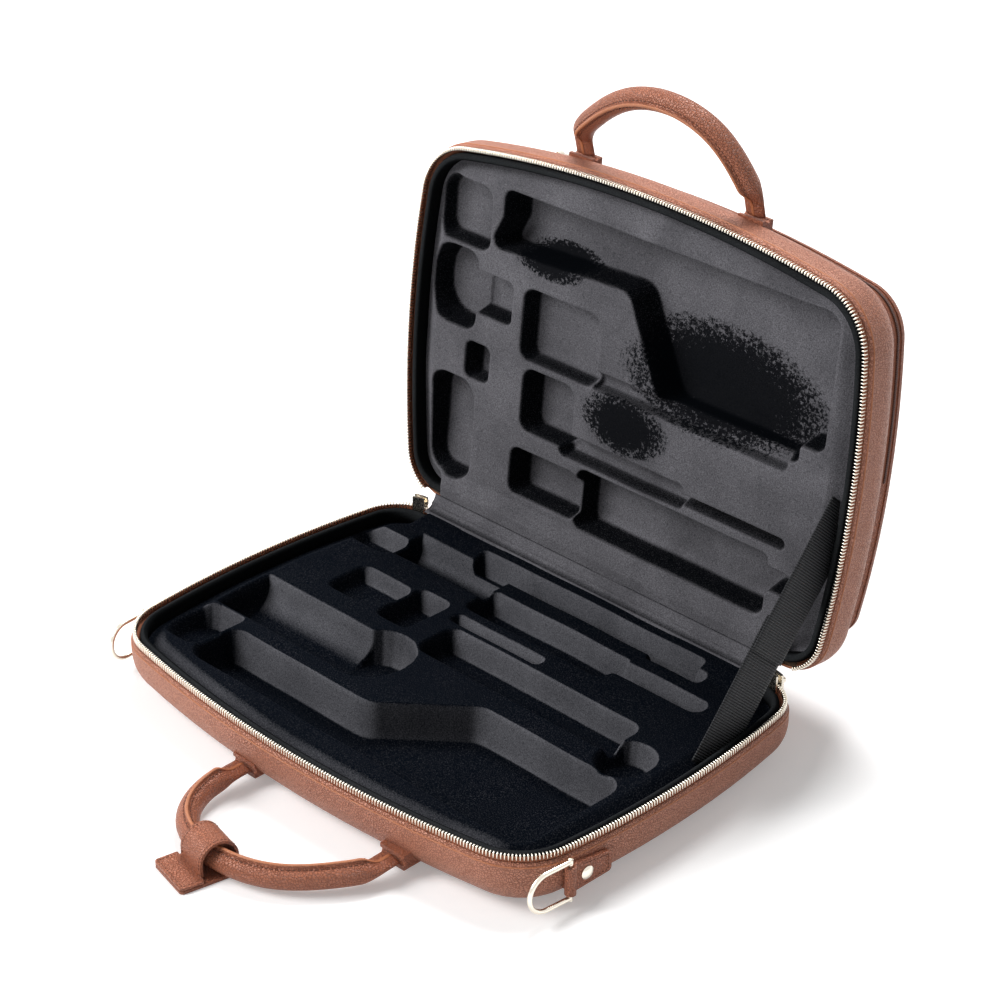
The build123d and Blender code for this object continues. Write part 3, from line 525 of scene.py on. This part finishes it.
def signed_distance(px, py, outline):
    """Distance to a closed outline, negative inside."""
    best = np.full(px.shape, 1e9)
    inside = np.zeros(px.shape, bool)
    for a, b in zip(outline, np.roll(outline, -1, axis=0)):
        d = b - a
        length = d @ d
        if length < 1e-12:
            continue
        t = np.clip(((px - a[0]) * d[0] + (py - a[1]) * d[1]) / length, 0, 1)
        best = np.minimum(best, (px - a[0] - t * d[0])**2 + (py - a[1] - t * d[1])**2)
        crosses = (a[1] > py) != (b[1] > py)
        with np.errstate(divide="ignore", invalid="ignore"):
            inside ^= crosses & (px < (b[0] - a[0]) * (py - a[1]) / (b[1] - a[1]) + a[0])
    return np.where(inside, -1, 1) * np.sqrt(best)


# Recesses as (outline in X and Y of the closed case, corner radius, depth below the rim).
BASE_RECESSES = [
    ([(-148, -105), (178, -105), (178, -13, 12), (50, -13, 20), (-8, -64, 20), (-148, -64)], 12, 34),
    ([(-192, -98), (-192, -50), (-152, -50, 6), (-152, -98, 6)], 20, 27),
    ([(-80, -47), (-80, 12), (-26, 12), (-26, -47)], 26, 34),
    ([(-38, 10), (-38, 45), (142, 45), (142, 10)], 8, 26),
    ([(142, -9), (142, 31), (178, 31), (178, -9)], 17, 24),
    ([(-48, 53), (-48, 61), (37, 61), (37, 53)], 3, 17),
    ([(-53, 73), (-53, 101), (79, 101), (79, 98), (156, 98), (156, 85), (79, 85), (79, 73)], 6, 25),
    ([(-93, 119), (-93, 132), (121, 132), (121, 123), (131, 123), (131, 114), (86, 114), (86, 119)], 3, 22),
    ([(-192, 84), (-192, 108), (-150, 108, 5), (-150, 84, 5)], 12, 22),
    ([(-146, 24), (-146, 60), (-96, 60), (-96, 36), (-112, 36), (-112, 24)], 6, 20),
    ([(-92, 22), (-92, 66), (-62, 66), (-62, 22)], 6, 24),
]
BASE_TROUGHS = [(-186, -56, -22, 25, 33), (-147, -56, 105, 15, 27)]
LID_RECESSES = [
    ([(-124, -110, 6), (-124, -90, 6), (-136, -66, 6), (0, -73, 14), (36, -2, 14), (158, -2, 4), (158, -16, 4),
      (178, -16, 6), (178, -110, 14)], 8, 32),
    ([(-192, -106, 14), (-192, -60, 10), (-139, -60, 8), (-139, -106, 10)], 10, 25),
    ([(-196, -54), (-196, 4), (-148, 4, 10), (-148, -54, 10)], 28, 31),
    ([(-150, -42), (-150, -12), (-112, -12), (-112, -42)], 4, 26),
    ([(-98, -44), (-98, 8), (-26, 8), (-26, -44)], 8, 22),
    ([(-26, -4), (-26, 8), (150, 8), (150, -4)], 3, 17),
    ([(-92, 16), (-92, 62), (-44, 62), (-44, 16)], 8, 27),
    ([(-152, 14), (-152, 40), (-130, 40), (-130, 14)], 5, 24),
    ([(-186, 46), (-186, 124), (-142, 124), (-142, 46)], 14, 27),
    ([(-98, 80), (-98, 114), (-34, 114), (-34, 80)], 6, 27),
    ([(-52, 52), (-52, 68), (64, 68), (64, 64), (156, 64), (156, 58), (64, 58), (64, 52)], 5, 21),
    ([(-32, 74), (-32, 118), (144, 118), (144, 96), (168, 96), (168, 82), (144, 82), (144, 74)], 7, 30),
]
LIP, FOOT = 2.6, 3.4
TROUGH_FOOT = 1.5
# At the hinge the insert rises to a nearly level back edge, except at its two ends.
BACK_START, BACK_END, BACK_HEIGHT = 11.0, 24.0, -1.2
BACK_REACH, BACK_FADE, BACK_FROM_Y = 176.0, 14.0, 112.0


def make_liner(side, recesses, troughs, finish_now):
    """Moulded plush: groove, sloping shoulder, land, and recesses whose lips and feet are rounded."""
    step = 1.0 if FINE else 2.0
    xs = np.arange(-204.0, 204.01, step)
    ys = np.arange(-139.0, 143.01, step)
    X, Y = np.meshgrid(xs, ys, indexing="ij")
    rng = np.random.default_rng(7)
    inset = -signed_distance(X, Y, rim(6.0, closed=True)[:, :2])
    slope = (inset - SHOULDER_START) / (SHOULDER_END - SHOULDER_START)
    Z = GROOVE + (LAND - GROOVE) * (0.6 * smoothstep(slope) + 0.4 * np.clip(slope, 0, 1))
    back = np.interp(HALF_DEPTH - Y, [BACK_START, BACK_END], [BACK_HEIGHT, LAND])
    ends = smoothstep((BACK_REACH - np.abs(X)) / BACK_FADE)
    Z = Z + (np.maximum(back, Z) - Z) * ends * (Y > BACK_FROM_Y)
    for points, radius, drop in recesses:
        outline = rounded(points, radius)
        lo, hi = outline.min(0) - 6, outline.max(0) + 6
        near = (X > lo[0]) & (X < hi[0]) & (Y > lo[1]) & (Y < hi[1])
        d = signed_distance(X[near], Y[near], outline)
        floor = -drop + 2.0 * smoothstep((d + 9) / 9)
        fall = smoothstep((LIP - d) / (LIP + FOOT))
        Z[near] = np.minimum(Z[near], Z[near] + (floor - Z[near]) * fall)
    for x0, x1, y, radius, drop in troughs:
        across = (Y - y) / radius
        bottom = radius - drop - radius * np.sqrt(np.clip(1 - across**2, 0, 1))
        edge = np.maximum(np.abs(Y - y) - radius, np.maximum(x0 - X, X - x1))
        fall = smoothstep((LIP - edge) / (LIP + TROUGH_FOOT))
        Z = np.where(edge < LIP, np.minimum(Z, Z + (np.minimum(bottom, Z) - Z) * fall), Z)
    waves = np.zeros_like(Z)
    for k in range(10):
        fx, fy, ph = rng.uniform(-0.09, 0.09, 2).tolist() + [rng.uniform(0, 6.28)]
        waves += np.sin(fx * X + fy * Y + ph)
    Z = Z + 0.10 * waves
    keep = (inset > 7.0) | ((inset > 2.4) & (Y > 130) & (np.abs(X) < 170))
    index = -np.ones(X.shape, int)
    index[keep] = np.arange(keep.sum())
    points = np.column_stack([X[keep], Y[keep], Z[keep]])
    a, b, c, d = index[:-1, :-1], index[1:, :-1], index[1:, 1:], index[:-1, 1:]
    full = (a >= 0) & (b >= 0) & (c >= 0) & (d >= 0)
    faces = np.column_stack([a[full], b[full], c[full], d[full]])
    faces = [tuple(f) for f in faces.tolist()]
    insert = piece(side + "_plush_insert", points, faces, finish_now, side, PLACES[side],
                   stands_for=[side + "_liner"])


def make_bead(side):
    """The soft plush bead inside the zip."""
    line = rim(3.0 if FINE else 6.0, closed=True)
    top = [(6.3 - 2.6 * cos(t), -4.6 + 2.6 * sin(t)) for t in np.linspace(0, pi, 9)]
    profile = [(3.7, -12.9)] + top + [(8.9, -12.9)]
    points, faces, uv = sweep_rim(line, profile, True)
    bead = piece(side + "_plush_bead", points, faces, BEAD_PLUSH, side, PLACES[side], uv,
                 stands_for=[side + "_binding"])


TOOTH_RINGS = [(-4.3, 1.15, 0.36), (-3.9, 1.45, 0.50), (-1.5, 1.4, 0.50), (-0.5, 1.3, 0.60), (0.0, 0.9, 0.4)]


def tooth_shape(rings):
    points = []
    for z, a, b in rings:
        for ux, uy in ((1, 0.5), (0.7, 1), (-0.7, 1), (-1, 0.5), (-1, -0.5), (-0.7, -1), (0.7, -1), (1, -0.5)):
            points.append((a * ux, b * uy, z))
    return points, tube_faces(len(rings), 8)


def make_chain(side, first):
    """Zip teeth, the corded tape that carries them, its inner edge, and the leather strip outside it."""
    line = rim(3.0, first=first)
    shape, shape_faces = tooth_shape(TOOTH_RINGS)
    points, faces = copies(shape, shape_faces, even_places(rim(2.0, first=first), TOOTH_PITCH))
    piece(side + "_zip_chain", points, faces, ZIP_METAL, side, PLACES[side],
          stands_for=[side + "_zip_teeth"])
    cord = [(-0.5, -8.98), (-0.5, -5.0), (-0.85, -4.5), (-0.95, -3.4), (-0.7, -2.4), (0, -1.9), (0.7, -2.4),
            (0.95, -3.4), (0.85, -4.5), (0.5, -5.0), (0.5, -8.98)]
    points, faces, uv = sweep_rim(line, cord, False)
    piece(side + "_zip_cord_tape", points, faces, ZIP_TAPE, side, PLACES[side], uv,
          stands_for=[side + "_zip_tape"])
    flap = [(0.5, -5.6), (2.2, -7.6), (3.7, -8.3), (3.7, -8.9), (2.0, -8.4), (0.5, -6.4)]
    points, faces, uv = sweep_rim(line, flap, False)
    piece(side + "_zip_tape_edge", points, faces, ZIP_TAPE, side, PLACES[side], uv)
    strip = [(-0.45, -5.8), (-0.95, -5.75), (-1.9, -7.2), (-2.4, -8.3), (-2.4, -9.0), (-0.45, -9.0)]
    points, faces, uv = sweep_rim(line, strip, False)
    piece(side + "_zip_leather_strip", points, faces, COVER_LEATHER, side, PLACES[side], uv)


POCKET_INSET, POCKET_ZIP_END_Y = 10.6, 10.0
POCKET_COIL_RINGS = [(-52.7, 0.35, 0.40), (-52.3, 0.55, 0.52), (-50.7, 0.55, 0.52), (-50.3, 0.35, 0.40)]


def make_pocket_coil():
    """The pocket's moulded coil zip, on the sides and far edge of its wall."""
    places = even_places(rim(2.0), COIL_PITCH)
    places[:, 0] -= POCKET_INSET * places[:, 2]
    places[:, 1] -= POCKET_INSET * places[:, 3]
    places = places[places[:, 1] < POCKET_ZIP_END_Y]
    shape, shape_faces = tooth_shape(POCKET_COIL_RINGS)
    points, faces = copies(shape, shape_faces, places)
    piece("pocket_zip_coil", points, faces, ZIP_COIL, "lid", in_lid, stands_for=["pocket_zip_teeth"])


def make_cover_edge(side):
    """The cover's cut and painted top edge."""
    line = rim(3.0, closed=True)
    roll = [(-3.0, -9.05), (-3.02, -8.7), (-2.7, -8.3), (-2.2, -8.15), (-1.7, -8.3), (-1.42, -8.7),
            (-1.42, -9.05)]
    points, faces, uv = sweep_rim(line, roll, True)
    piece(side + "_cover_edge", points, faces, PAINTED_EDGE, side, PLACES[side], uv)


# Stay strap: two lengths of webbing, sewn together where they overlap.
STRAP_X, STRAP_WIDTH, STRAP_THICK = 192.5, 40.0, 1.6
STRAP_SEWN_FROM, STRAP_SEWN_TO = 0.42, 0.56
STRAP_LOW_TAIL, STRAP_HIGH_TAIL, STRAP_LAP = 8.0, 10.0, 1.7
STRAP_LOW = (60.0, 33.0)
STRAP_HIGH = turn_open(28.0, 61.4)


def strap_length(name, from_run, to_run, lift, stands_for=()):
    """One length of webbing in the strap's plane, between two distances from its low end."""
    low, high = np.array(STRAP_LOW), np.array(STRAP_HIGH)
    along = (high - low) / np.linalg.norm(high - low)
    side = np.array([-along[1], along[0]])
    rows = max(2, int((to_run - from_run) / 3))
    cols = 14
    points, uv = [], []
    for r in range(rows + 1):
        run = from_run + (to_run - from_run) * r / rows
        for c in range(cols + 1):
            t = -1 + 2 * c / cols
            edge = 1 - 0.35 * smoothstep((abs(t) - 0.9) / 0.1)
            y, z = low + along * run + side * t * STRAP_WIDTH / 2
            for s in (1, -1):
                x = STRAP_X + lift + s * edge * STRAP_THICK / 2 + 0.25 * sin(run * 0.05)
                points.append((x, y, z))
                uv.append((run, t * STRAP_WIDTH / 2))
    n = cols + 1
    faces = []
    for r in range(rows):
        for c in range(cols):
            a, b, d, e = (r * n + c) * 2, (r * n + c + 1) * 2, ((r + 1) * n + c + 1) * 2, ((r + 1) * n + c) * 2
            faces += [(a, b, d, e), (a + 1, e + 1, d + 1, b + 1)]
        for c, flip in ((0, False), (cols, True)):
            a, b = (r * n + c) * 2, ((r + 1) * n + c) * 2
            faces.append((a, b, b + 1, a + 1) if flip is False else (a, a + 1, b + 1, b))
    for r, flip in ((0, False), (rows, True)):
        for c in range(cols):
            a, b = (r * n + c) * 2, (r * n + c + 1) * 2
            faces.append((a, a + 1, b + 1, b) if flip is False else (a, b, b + 1, a + 1))
    obj = piece(name, points, faces, WEBBING, None, uv=uv)
    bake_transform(obj)
    if stands_for:
        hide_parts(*stands_for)
    return obj


def make_strap():
    full = hypot(STRAP_HIGH[0] - STRAP_LOW[0], STRAP_HIGH[1] - STRAP_LOW[1])
    strap_length("strap_lower", -STRAP_LOW_TAIL, full * STRAP_SEWN_TO, 0.0, ["stay_strap"])
    strap_length("strap_upper", full * STRAP_SEWN_FROM, full + STRAP_HIGH_TAIL, STRAP_LAP)


LINING_REACH = 168.0


def make_hinge_lining():
    """Plush that carries on across the hinge from one insert to the other, with a pressed fold."""
    top = [(141.5, 44.6), (144.5, 45.2), (147.4, 46.3), (149.2, 47.6), (149.6, 48.6), (149.3, 49.4),
           (150.4, 49.8), (151.6, 51.2), (152.8, 53.2), (153.7, 55.8)]
    under = [(y + 0.9, z - 0.9) for y, z in reversed(top)]
    profile = top + under
    xs = np.linspace(-LINING_REACH, LINING_REACH, 85)
    points = [(x, y, z) for x in xs for y, z in profile]
    faces = tube_faces(len(xs), len(profile))
    obj = piece("hinge_lining", points, faces, LID_PLUSH, None)
    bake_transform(obj)


GUSSET_HALF = 0.8


def make_gusset():
    """Leather that bends round the hinge, from the base's cover to the lid's."""
    y0, z0 = HALF_DEPTH + COVER_OUT - GUSSET_HALF, SHELL_DEPTH + LEDGE
    y1, z1 = turn_open(y0, SHELL_DEPTH + ROW_GAP - LEDGE)
    radius = (y1 - y0) / (1 - cos(radians(OPEN_ANGLE)))
    angles = np.linspace(0, radians(OPEN_ANGLE - 1.5), 15)
    profile = []
    for s, sweep in ((GUSSET_HALF, angles), (-GUSSET_HALF, angles[::-1])):
        profile += [(y0 + radius - (radius + s) * cos(a), z0 + (radius + s) * sin(a)) for a in sweep]
    xs = np.linspace(-BACK_TURN[0] + 2, BACK_TURN[0] - 2, 61)
    points = [(x, y, z) for x in xs for y, z in profile]
    faces = tube_faces(len(xs), len(profile))
    obj = piece("hinge_leather", points, faces, COVER_LEATHER, None)
    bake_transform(obj)
    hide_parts("hinge_gusset")


# Carrying handles.
HANDLES = {
    "base": ([(-42, 12), (-40, 34), (-22, 64), (24, 76), (64, 64), (94, 33), (103, 12)], 1.7),
    "lid": ([(-77, 12), (-63, 33), (-20, 61), (10, 67), (54, 54), (75, 25), (79, 12)], -20.0),
}
HANDLE_Y, ROOT_DROP = -147.0, 33.0
SLEEVE_RADIUS, PRESSED_HALF_WIDTH, PRESSED_HALF_HEIGHT, ROPE_RADIUS = 8.0, 8.5, 2.5, 5.2
PRESSED_UP_TO, ROUND_FROM, SEAM_FROM, ROPE_FROM = 9.0, 24.0, 16.0, 26.0


def smooth_path(points, step):
    """The handle's line through its points, square to the wall at both ends, in even steps."""
    p = np.array([(x, -reach) for x, reach in points], float)
    gaps = np.hypot(*np.diff(p, axis=0).T)
    count = len(p)
    pull = np.eye(count)
    want = np.zeros((count, 2))
    want[0], want[-1] = (0, -1), (0, 1)
    for i in range(1, count - 1):
        before, after = gaps[i - 1], gaps[i]
        pull[i, i - 1:i + 2] = 1 / before, 2 / before + 2 / after, 1 / after
        want[i] = 3 * ((p[i] - p[i - 1]) / before**2 + (p[i + 1] - p[i]) / after**2)
    slope = np.linalg.solve(pull, want)
    dense = [[p[0, 0], 0.0]]
    for i, gap in enumerate(gaps):
        for t in np.linspace(0, 1, 40, endpoint=False):
            a, b = (1 + 2 * t) * (1 - t)**2, t * (1 - t)**2
            c, d = t * t * (3 - 2 * t), t * t * (t - 1)
            dense.append(a * p[i] + b * gap * slope[i] + c * p[i + 1] + d * gap * slope[i + 1])
    dense = np.array(dense + [p[-1], [p[-1, 0], 0.0]])
    run = np.concatenate([[0], np.cumsum(np.hypot(*np.diff(dense, axis=0).T))])
    at = np.linspace(0, run[-1], int(run[-1] / step))
    return np.column_stack([np.interp(at, run, dense[:, 0]), np.interp(at, run, dense[:, 1])]), at


def handle_section(flat):
    """Points (across, up) of the sleeve: a tube with a raised seam on top, pressed flat towards its root."""
    ridge = [(-1.5, 8.1), (-1.2, 9.0), (-1.15, 10.1), (-0.7, 10.6), (0.7, 10.6), (1.15, 10.1), (1.2, 9.0),
             (1.5, 8.1)]
    turns = np.linspace(pi / 2 - 0.26, -3 * pi / 2 + 0.26, 25)
    tube = [(SLEEVE_RADIUS * cos(a), SLEEVE_RADIUS * sin(a)) for a in turns]
    section = np.vstack([ridge, tube])
    pressed = section * (PRESSED_HALF_WIDTH / SLEEVE_RADIUS, PRESSED_HALF_HEIGHT / SLEEVE_RADIUS)
    pressed[:8, 1] = PRESSED_HALF_HEIGHT + (section[:8, 1] - SLEEVE_RADIUS) * 0.12
    return section * (1 - flat) + pressed * flat


def make_handle(side):
    points_in, turn = HANDLES[side]
    line, run = smooth_path(points_in, 2.0 if FINE else 4.0)
    reach = -line[:, 1]
    tangent = np.gradient(line, axis=0)
    tangent /= np.linalg.norm(tangent, axis=1)[:, None]
    across = np.column_stack([-tangent[:, 1], tangent[:, 0]])
    points, uv, seam = [], [], []
    for k in range(len(line)):
        flat = 1 - float(smoothstep((reach[k] - PRESSED_UP_TO) / (ROUND_FROM - PRESSED_UP_TO)))
        section = handle_section(flat)
        for j, (a, u) in enumerate(section):
            points.append((line[k, 0] + across[k, 0] * a, line[k, 1] + across[k, 1] * a, u))
            uv.append((run[k], j * 2.0))
        if reach[k] > SEAM_FROM:
            for s in (-1, 1):
                seam.append((s, *(line[k] + across[k] * s * 2.5), 7.75))
    rows, cols = len(line), len(section)
    faces = tube_faces(rows, cols)

    def place(p):
        p = np.asarray(p, float)
        t = radians(turn)
        y, z = p[:, 1] * cos(t) - p[:, 2] * sin(t), p[:, 1] * sin(t) + p[:, 2] * cos(t)
        return PLACES[side](np.column_stack([p[:, 0], y + HANDLE_Y, z - ROOT_DROP]))

    placed = place(points)
    if side == "lid":
        faces = [tuple(reversed(f)) for f in faces]
    obj = piece(side + "_handle_sleeve", placed, faces, EDGE_LEATHER, side + "_handle", uv=uv,
                stands_for=[side + "_handle"])
    obj.data.materials.append(PAINTED_EDGE)
    for polygon in obj.data.polygons:
        cs = [v % cols for v in polygon.vertices]
        if len(cs) == 4 and max(cs) <= 5 and min(cs) >= 2:
            polygon.material_index = 1
    inside = [k for k in range(rows) if reach[k] > ROPE_FROM]
    turns = np.linspace(0, 2 * pi, 20, endpoint=False)
    rope = [(*(line[k] + across[k] * ROPE_RADIUS * cos(a)), ROPE_RADIUS * sin(a)) for k in inside for a in turns]
    rope_faces = tube_faces(len(inside), len(turns))
    if side == "lid":
        rope_faces = [tuple(reversed(f)) for f in rope_faces]
    piece(side + "_handle_rope", place(rope), rope_faces, ROPE, side + "_handle",
          stands_for=[side + "_handle_core"])
    for s in (-1, 1):
        track = place(np.array([q[1:] for q in seam if q[0] == s]))
        make_stitches(f"{side}_handle_stitches_{'inner' if s < 0 else 'outer'}", track, side + "_handle")


def make_stitches(name, track, body, pitch=3.6, length=2.5, radius=0.32):
    """A row of thread stitches along a line of row points in mm."""
    run = np.concatenate([[0], np.cumsum(np.linalg.norm(np.diff(track, axis=0), axis=1))])
    starts = np.arange(pitch, run[-1] - pitch, pitch)
    points, faces = [], []
    for s in starts:
        ends = [np.array([np.interp(s + d, run, track[:, k]) for k in range(3)]) for d in (0, length)]
        axis = ends[1] - ends[0]
        axis /= np.linalg.norm(axis)
        u = np.cross(axis, (0.31, 0.17, 0.93))
        u /= np.linalg.norm(u)
        w = np.cross(axis, u)
        first = len(points)
        for t, r in ((0.0, 0.35), (0.18, 0.9), (0.5, 1.0), (0.82, 0.9), (1.0, 0.35)):
            centre = ends[0] + (ends[1] - ends[0]) * t
            for a in np.linspace(0, 2 * pi, 6, endpoint=False):
                points.append(centre + radius * r * (cos(a) * u + sin(a) * w))
        faces += [tuple(first + i for i in f) for f in tube_faces(5, 6)]
    piece(name, points, faces, THREAD, body)


def along_line(corners, step=1.0):
    """Points in even steps along straight runs between corners."""
    rows = []
    for a, b in zip(corners[:-1], corners[1:]):
        a, b = np.array(a, float), np.array(b, float)
        count = max(1, int(np.linalg.norm(b - a) / step))
        rows += [a + (b - a) * k / count for k in range(count)]
    return np.array(rows + [np.array(corners[-1], float)])


TAG_AT, TAG_TURN = (14.0, -222.3, 0.2), -12.0
BAND_STITCH_X, BAND_RADIUS, BAND_RISE = 11.4, 14.05, 11.8
FINE_STITCHES = {"pitch": 2.8, "length": 2.0, "radius": 0.28}


def in_tag(points):
    """From the tag's own axes: X across its band, Y towards the case, Z up from its plate."""
    p = np.asarray(points, float)
    t = radians(TAG_TURN)
    x, y = p[:, 0] * cos(t) - p[:, 1] * sin(t), p[:, 0] * sin(t) + p[:, 1] * cos(t)
    return np.column_stack([x, y, p[:, 2]]) + TAG_AT


def make_tag_trim():
    """Stitching round the tag's flap and along both sides of its band, and the snap under the band."""
    flap = along_line([(-16.8, -15.4, 4.65), (-16.8, -28.8, 4.65), (16.8, -28.8, 4.65), (16.8, -15.4, 4.65)])
    make_stitches("tag_flap_stitches", in_tag(flap), "tag", **FINE_STITCHES)
    plate = along_line([(-16.8, 13.3, 2.05), (-16.8, -12.5, 2.05)])
    for s, name in ((1, "left"), (-1, "right")):
        make_stitches(f"tag_plate_stitches_{name}", in_tag(plate * (s, 1, 1)), "tag", **FINE_STITCHES)
        x = s * BAND_STITCH_X
        side = [(x, -BAND_RADIUS, 5.4), (x, -BAND_RADIUS, BAND_RISE)]
        side += [(x, -BAND_RADIUS * cos(a), BAND_RISE + BAND_RADIUS * sin(a))
                 for a in np.linspace(0.05, pi - 0.05, 40)]
        side += [(x, BAND_RADIUS, BAND_RISE), (x, BAND_RADIUS, 3.0)]
        make_stitches(f"tag_band_stitches_{name}", in_tag(along_line(side)), "tag", **FINE_STITCHES)
    rings = [(4.6, 2.0), (4.6, 2.5), (4.0, 3.0), (2.6, 3.4), (1.2, 3.55)]
    turns = np.linspace(0, 2 * pi, 24, endpoint=False)
    points = [(r * cos(a) + 1.0, r * sin(a) + 1.0, z) for r, z in rings for a in turns]
    piece("tag_snap", in_tag(points), tube_faces(len(rings), len(turns)), RING_METAL, "tag")


# Each tab runs back from its ring along the side wall, at half the wall's height.
TAB_FRONT_Y, TAB_BACK_Y, TAB_Z, TAB_OUT = -94.0, -60.0, 24.5, 4.05


def make_ring_tab_stitches():
    """Stitching round the back end of each shoulder ring's tab."""
    x0 = SIDE_CENTRE[0] + sqrt((SIDE_RADIUS + COVER_OUT)**2 - TAB_FRONT_Y**2)
    x1 = SIDE_CENTRE[0] + sqrt((SIDE_RADIUS + COVER_OUT)**2 - TAB_BACK_Y**2)
    s = atan2(x1 - x0, TAB_BACK_Y - TAB_FRONT_Y)
    track = along_line([(9.0, -7.8), (31.6, -5.4), (31.6, 5.4), (9.0, 7.8)])
    rows = [(x0 + a * sin(s) + TAB_OUT * cos(s), TAB_FRONT_Y + a * cos(s) - TAB_OUT * sin(s), TAB_Z + b)
            for a, b in track]
    for side, flip in (("right", 1), ("left", -1)):
        make_stitches(f"ring_tab_stitches_{side}", np.array(rows) * (flip, 1, 1), "base", **FINE_STITCHES)


# Floor, lights and camera, in metres.
FLOOR_REACH = 6.0
GLOW_DISTANCE, GLOW_STRENGTH = (0.7, 2.6), (0.27, 0.95)
WORLD_LIGHT = 0.25
LIT_POINT = (0.0, 0.0, 0.15)
CAMERA_AT, CAMERA_TARGET, CAMERA_LENS = (1.15560, -1.10127, 1.05797), (0.04671, 0.00790, 0.19068), 98.75


def make_stage():
    """A pale floor that keeps the case's shadow and grows brighter with distance."""
    r = FLOOR_REACH
    mesh = bpy.data.meshes.new("floor")
    mesh.from_pydata([(-r, -r, 0), (r, -r, 0), (r, r, 0), (-r, r, 0)], [], [(0, 1, 2, 3)])
    floor = bpy.data.objects.new("floor", mesh)
    bpy.context.scene.collection.objects.link(floor)
    material = bpy.data.materials.new("pale_floor")
    material.use_nodes = True
    tree = material.node_tree
    shader = tree.nodes["Principled BSDF"]
    shader.inputs["Base Color"].default_value = (0.86, 0.86, 0.86, 1)
    shader.inputs["Roughness"].default_value = 0.9
    shader.inputs["Specular IOR Level"].default_value = 0.1
    path = tree.nodes.new("ShaderNodeLightPath")
    seen = maths(tree, "MAXIMUM", path.outputs["Is Camera Ray"],
                 maths(tree, "MAXIMUM", path.outputs["Is Glossy Ray"], path.outputs["Is Transmission Ray"]))
    shader.inputs["Emission Color"].default_value = (1, 1, 1, 1)
    where = node(tree, "ShaderNodeTexCoord")
    away = node(tree, "ShaderNodeVectorMath", {0: where.outputs["Object"]}, operation="LENGTH")
    glow = spread(tree, away.outputs["Value"], *GLOW_DISTANCE, *GLOW_STRENGTH)
    tree.links.new(maths(tree, "MULTIPLY", seen, glow.outputs[0]), shader.inputs["Emission Strength"])
    mesh.materials.append(material)


def make_lights():
    world = bpy.context.scene.world or bpy.data.worlds.new("studio")
    bpy.context.scene.world = world
    world.use_nodes = True
    tree = world.node_tree
    background = tree.nodes["Background"]
    path = tree.nodes.new("ShaderNodeLightPath")
    seen = maths(tree, "MAXIMUM", path.outputs["Is Camera Ray"], path.outputs["Is Glossy Ray"])
    background.inputs["Color"].default_value = (1, 1, 1, 1)
    strength = maths(tree, "ADD", maths(tree, "MULTIPLY", seen, 1.0 - WORLD_LIGHT), WORLD_LIGHT)
    tree.links.new(strength, background.inputs["Strength"])
    for name, at, size, power in (
        ("softbox_left", (-1.35, -1.75, 1.85), 1.5, 75.0),
        ("softbox_back", (-0.5, 1.1, 2.3), 1.0, 57.0),
    ):
        lamp = bpy.data.lights.new(name, "AREA")
        lamp.shape = "SQUARE"
        lamp.size = size
        lamp.energy = power
        obj = bpy.data.objects.new(name, lamp)
        obj.location = at
        obj.rotation_euler = (Vector(LIT_POINT) - Vector(at)).to_track_quat("-Z", "Y").to_euler()
        bpy.context.scene.collection.objects.link(obj)


def make_camera():
    camera = bpy.data.cameras.new("photo_view")
    camera.lens = CAMERA_LENS
    camera.sensor_width = 36.0
    camera.sensor_fit = "HORIZONTAL"
    obj = bpy.data.objects.new("photo_view", camera)
    obj.location = CAMERA_AT
    obj.rotation_euler = (Vector(CAMERA_TARGET) - obj.location).to_track_quat("-Z", "Y").to_euler()
    bpy.context.scene.collection.objects.link(obj)
    bpy.context.scene.camera = obj
    bpy.context.scene.view_settings.view_transform = "Standard"


dress_nodes()
make_liner("base", BASE_RECESSES, BASE_TROUGHS, BASE_PLUSH)
make_liner("lid", LID_RECESSES, [], LID_PLUSH)
for shell, start in (("base", 90.0), ("lid", 66.5)):
    make_bead(shell)
    make_chain(shell, start)
    make_cover_edge(shell)
    make_handle(shell)
make_pocket_coil()
make_tag_trim()
make_ring_tab_stitches()
make_strap()
make_gusset()
make_hinge_lining()
make_stage()
make_lights()
make_camera()
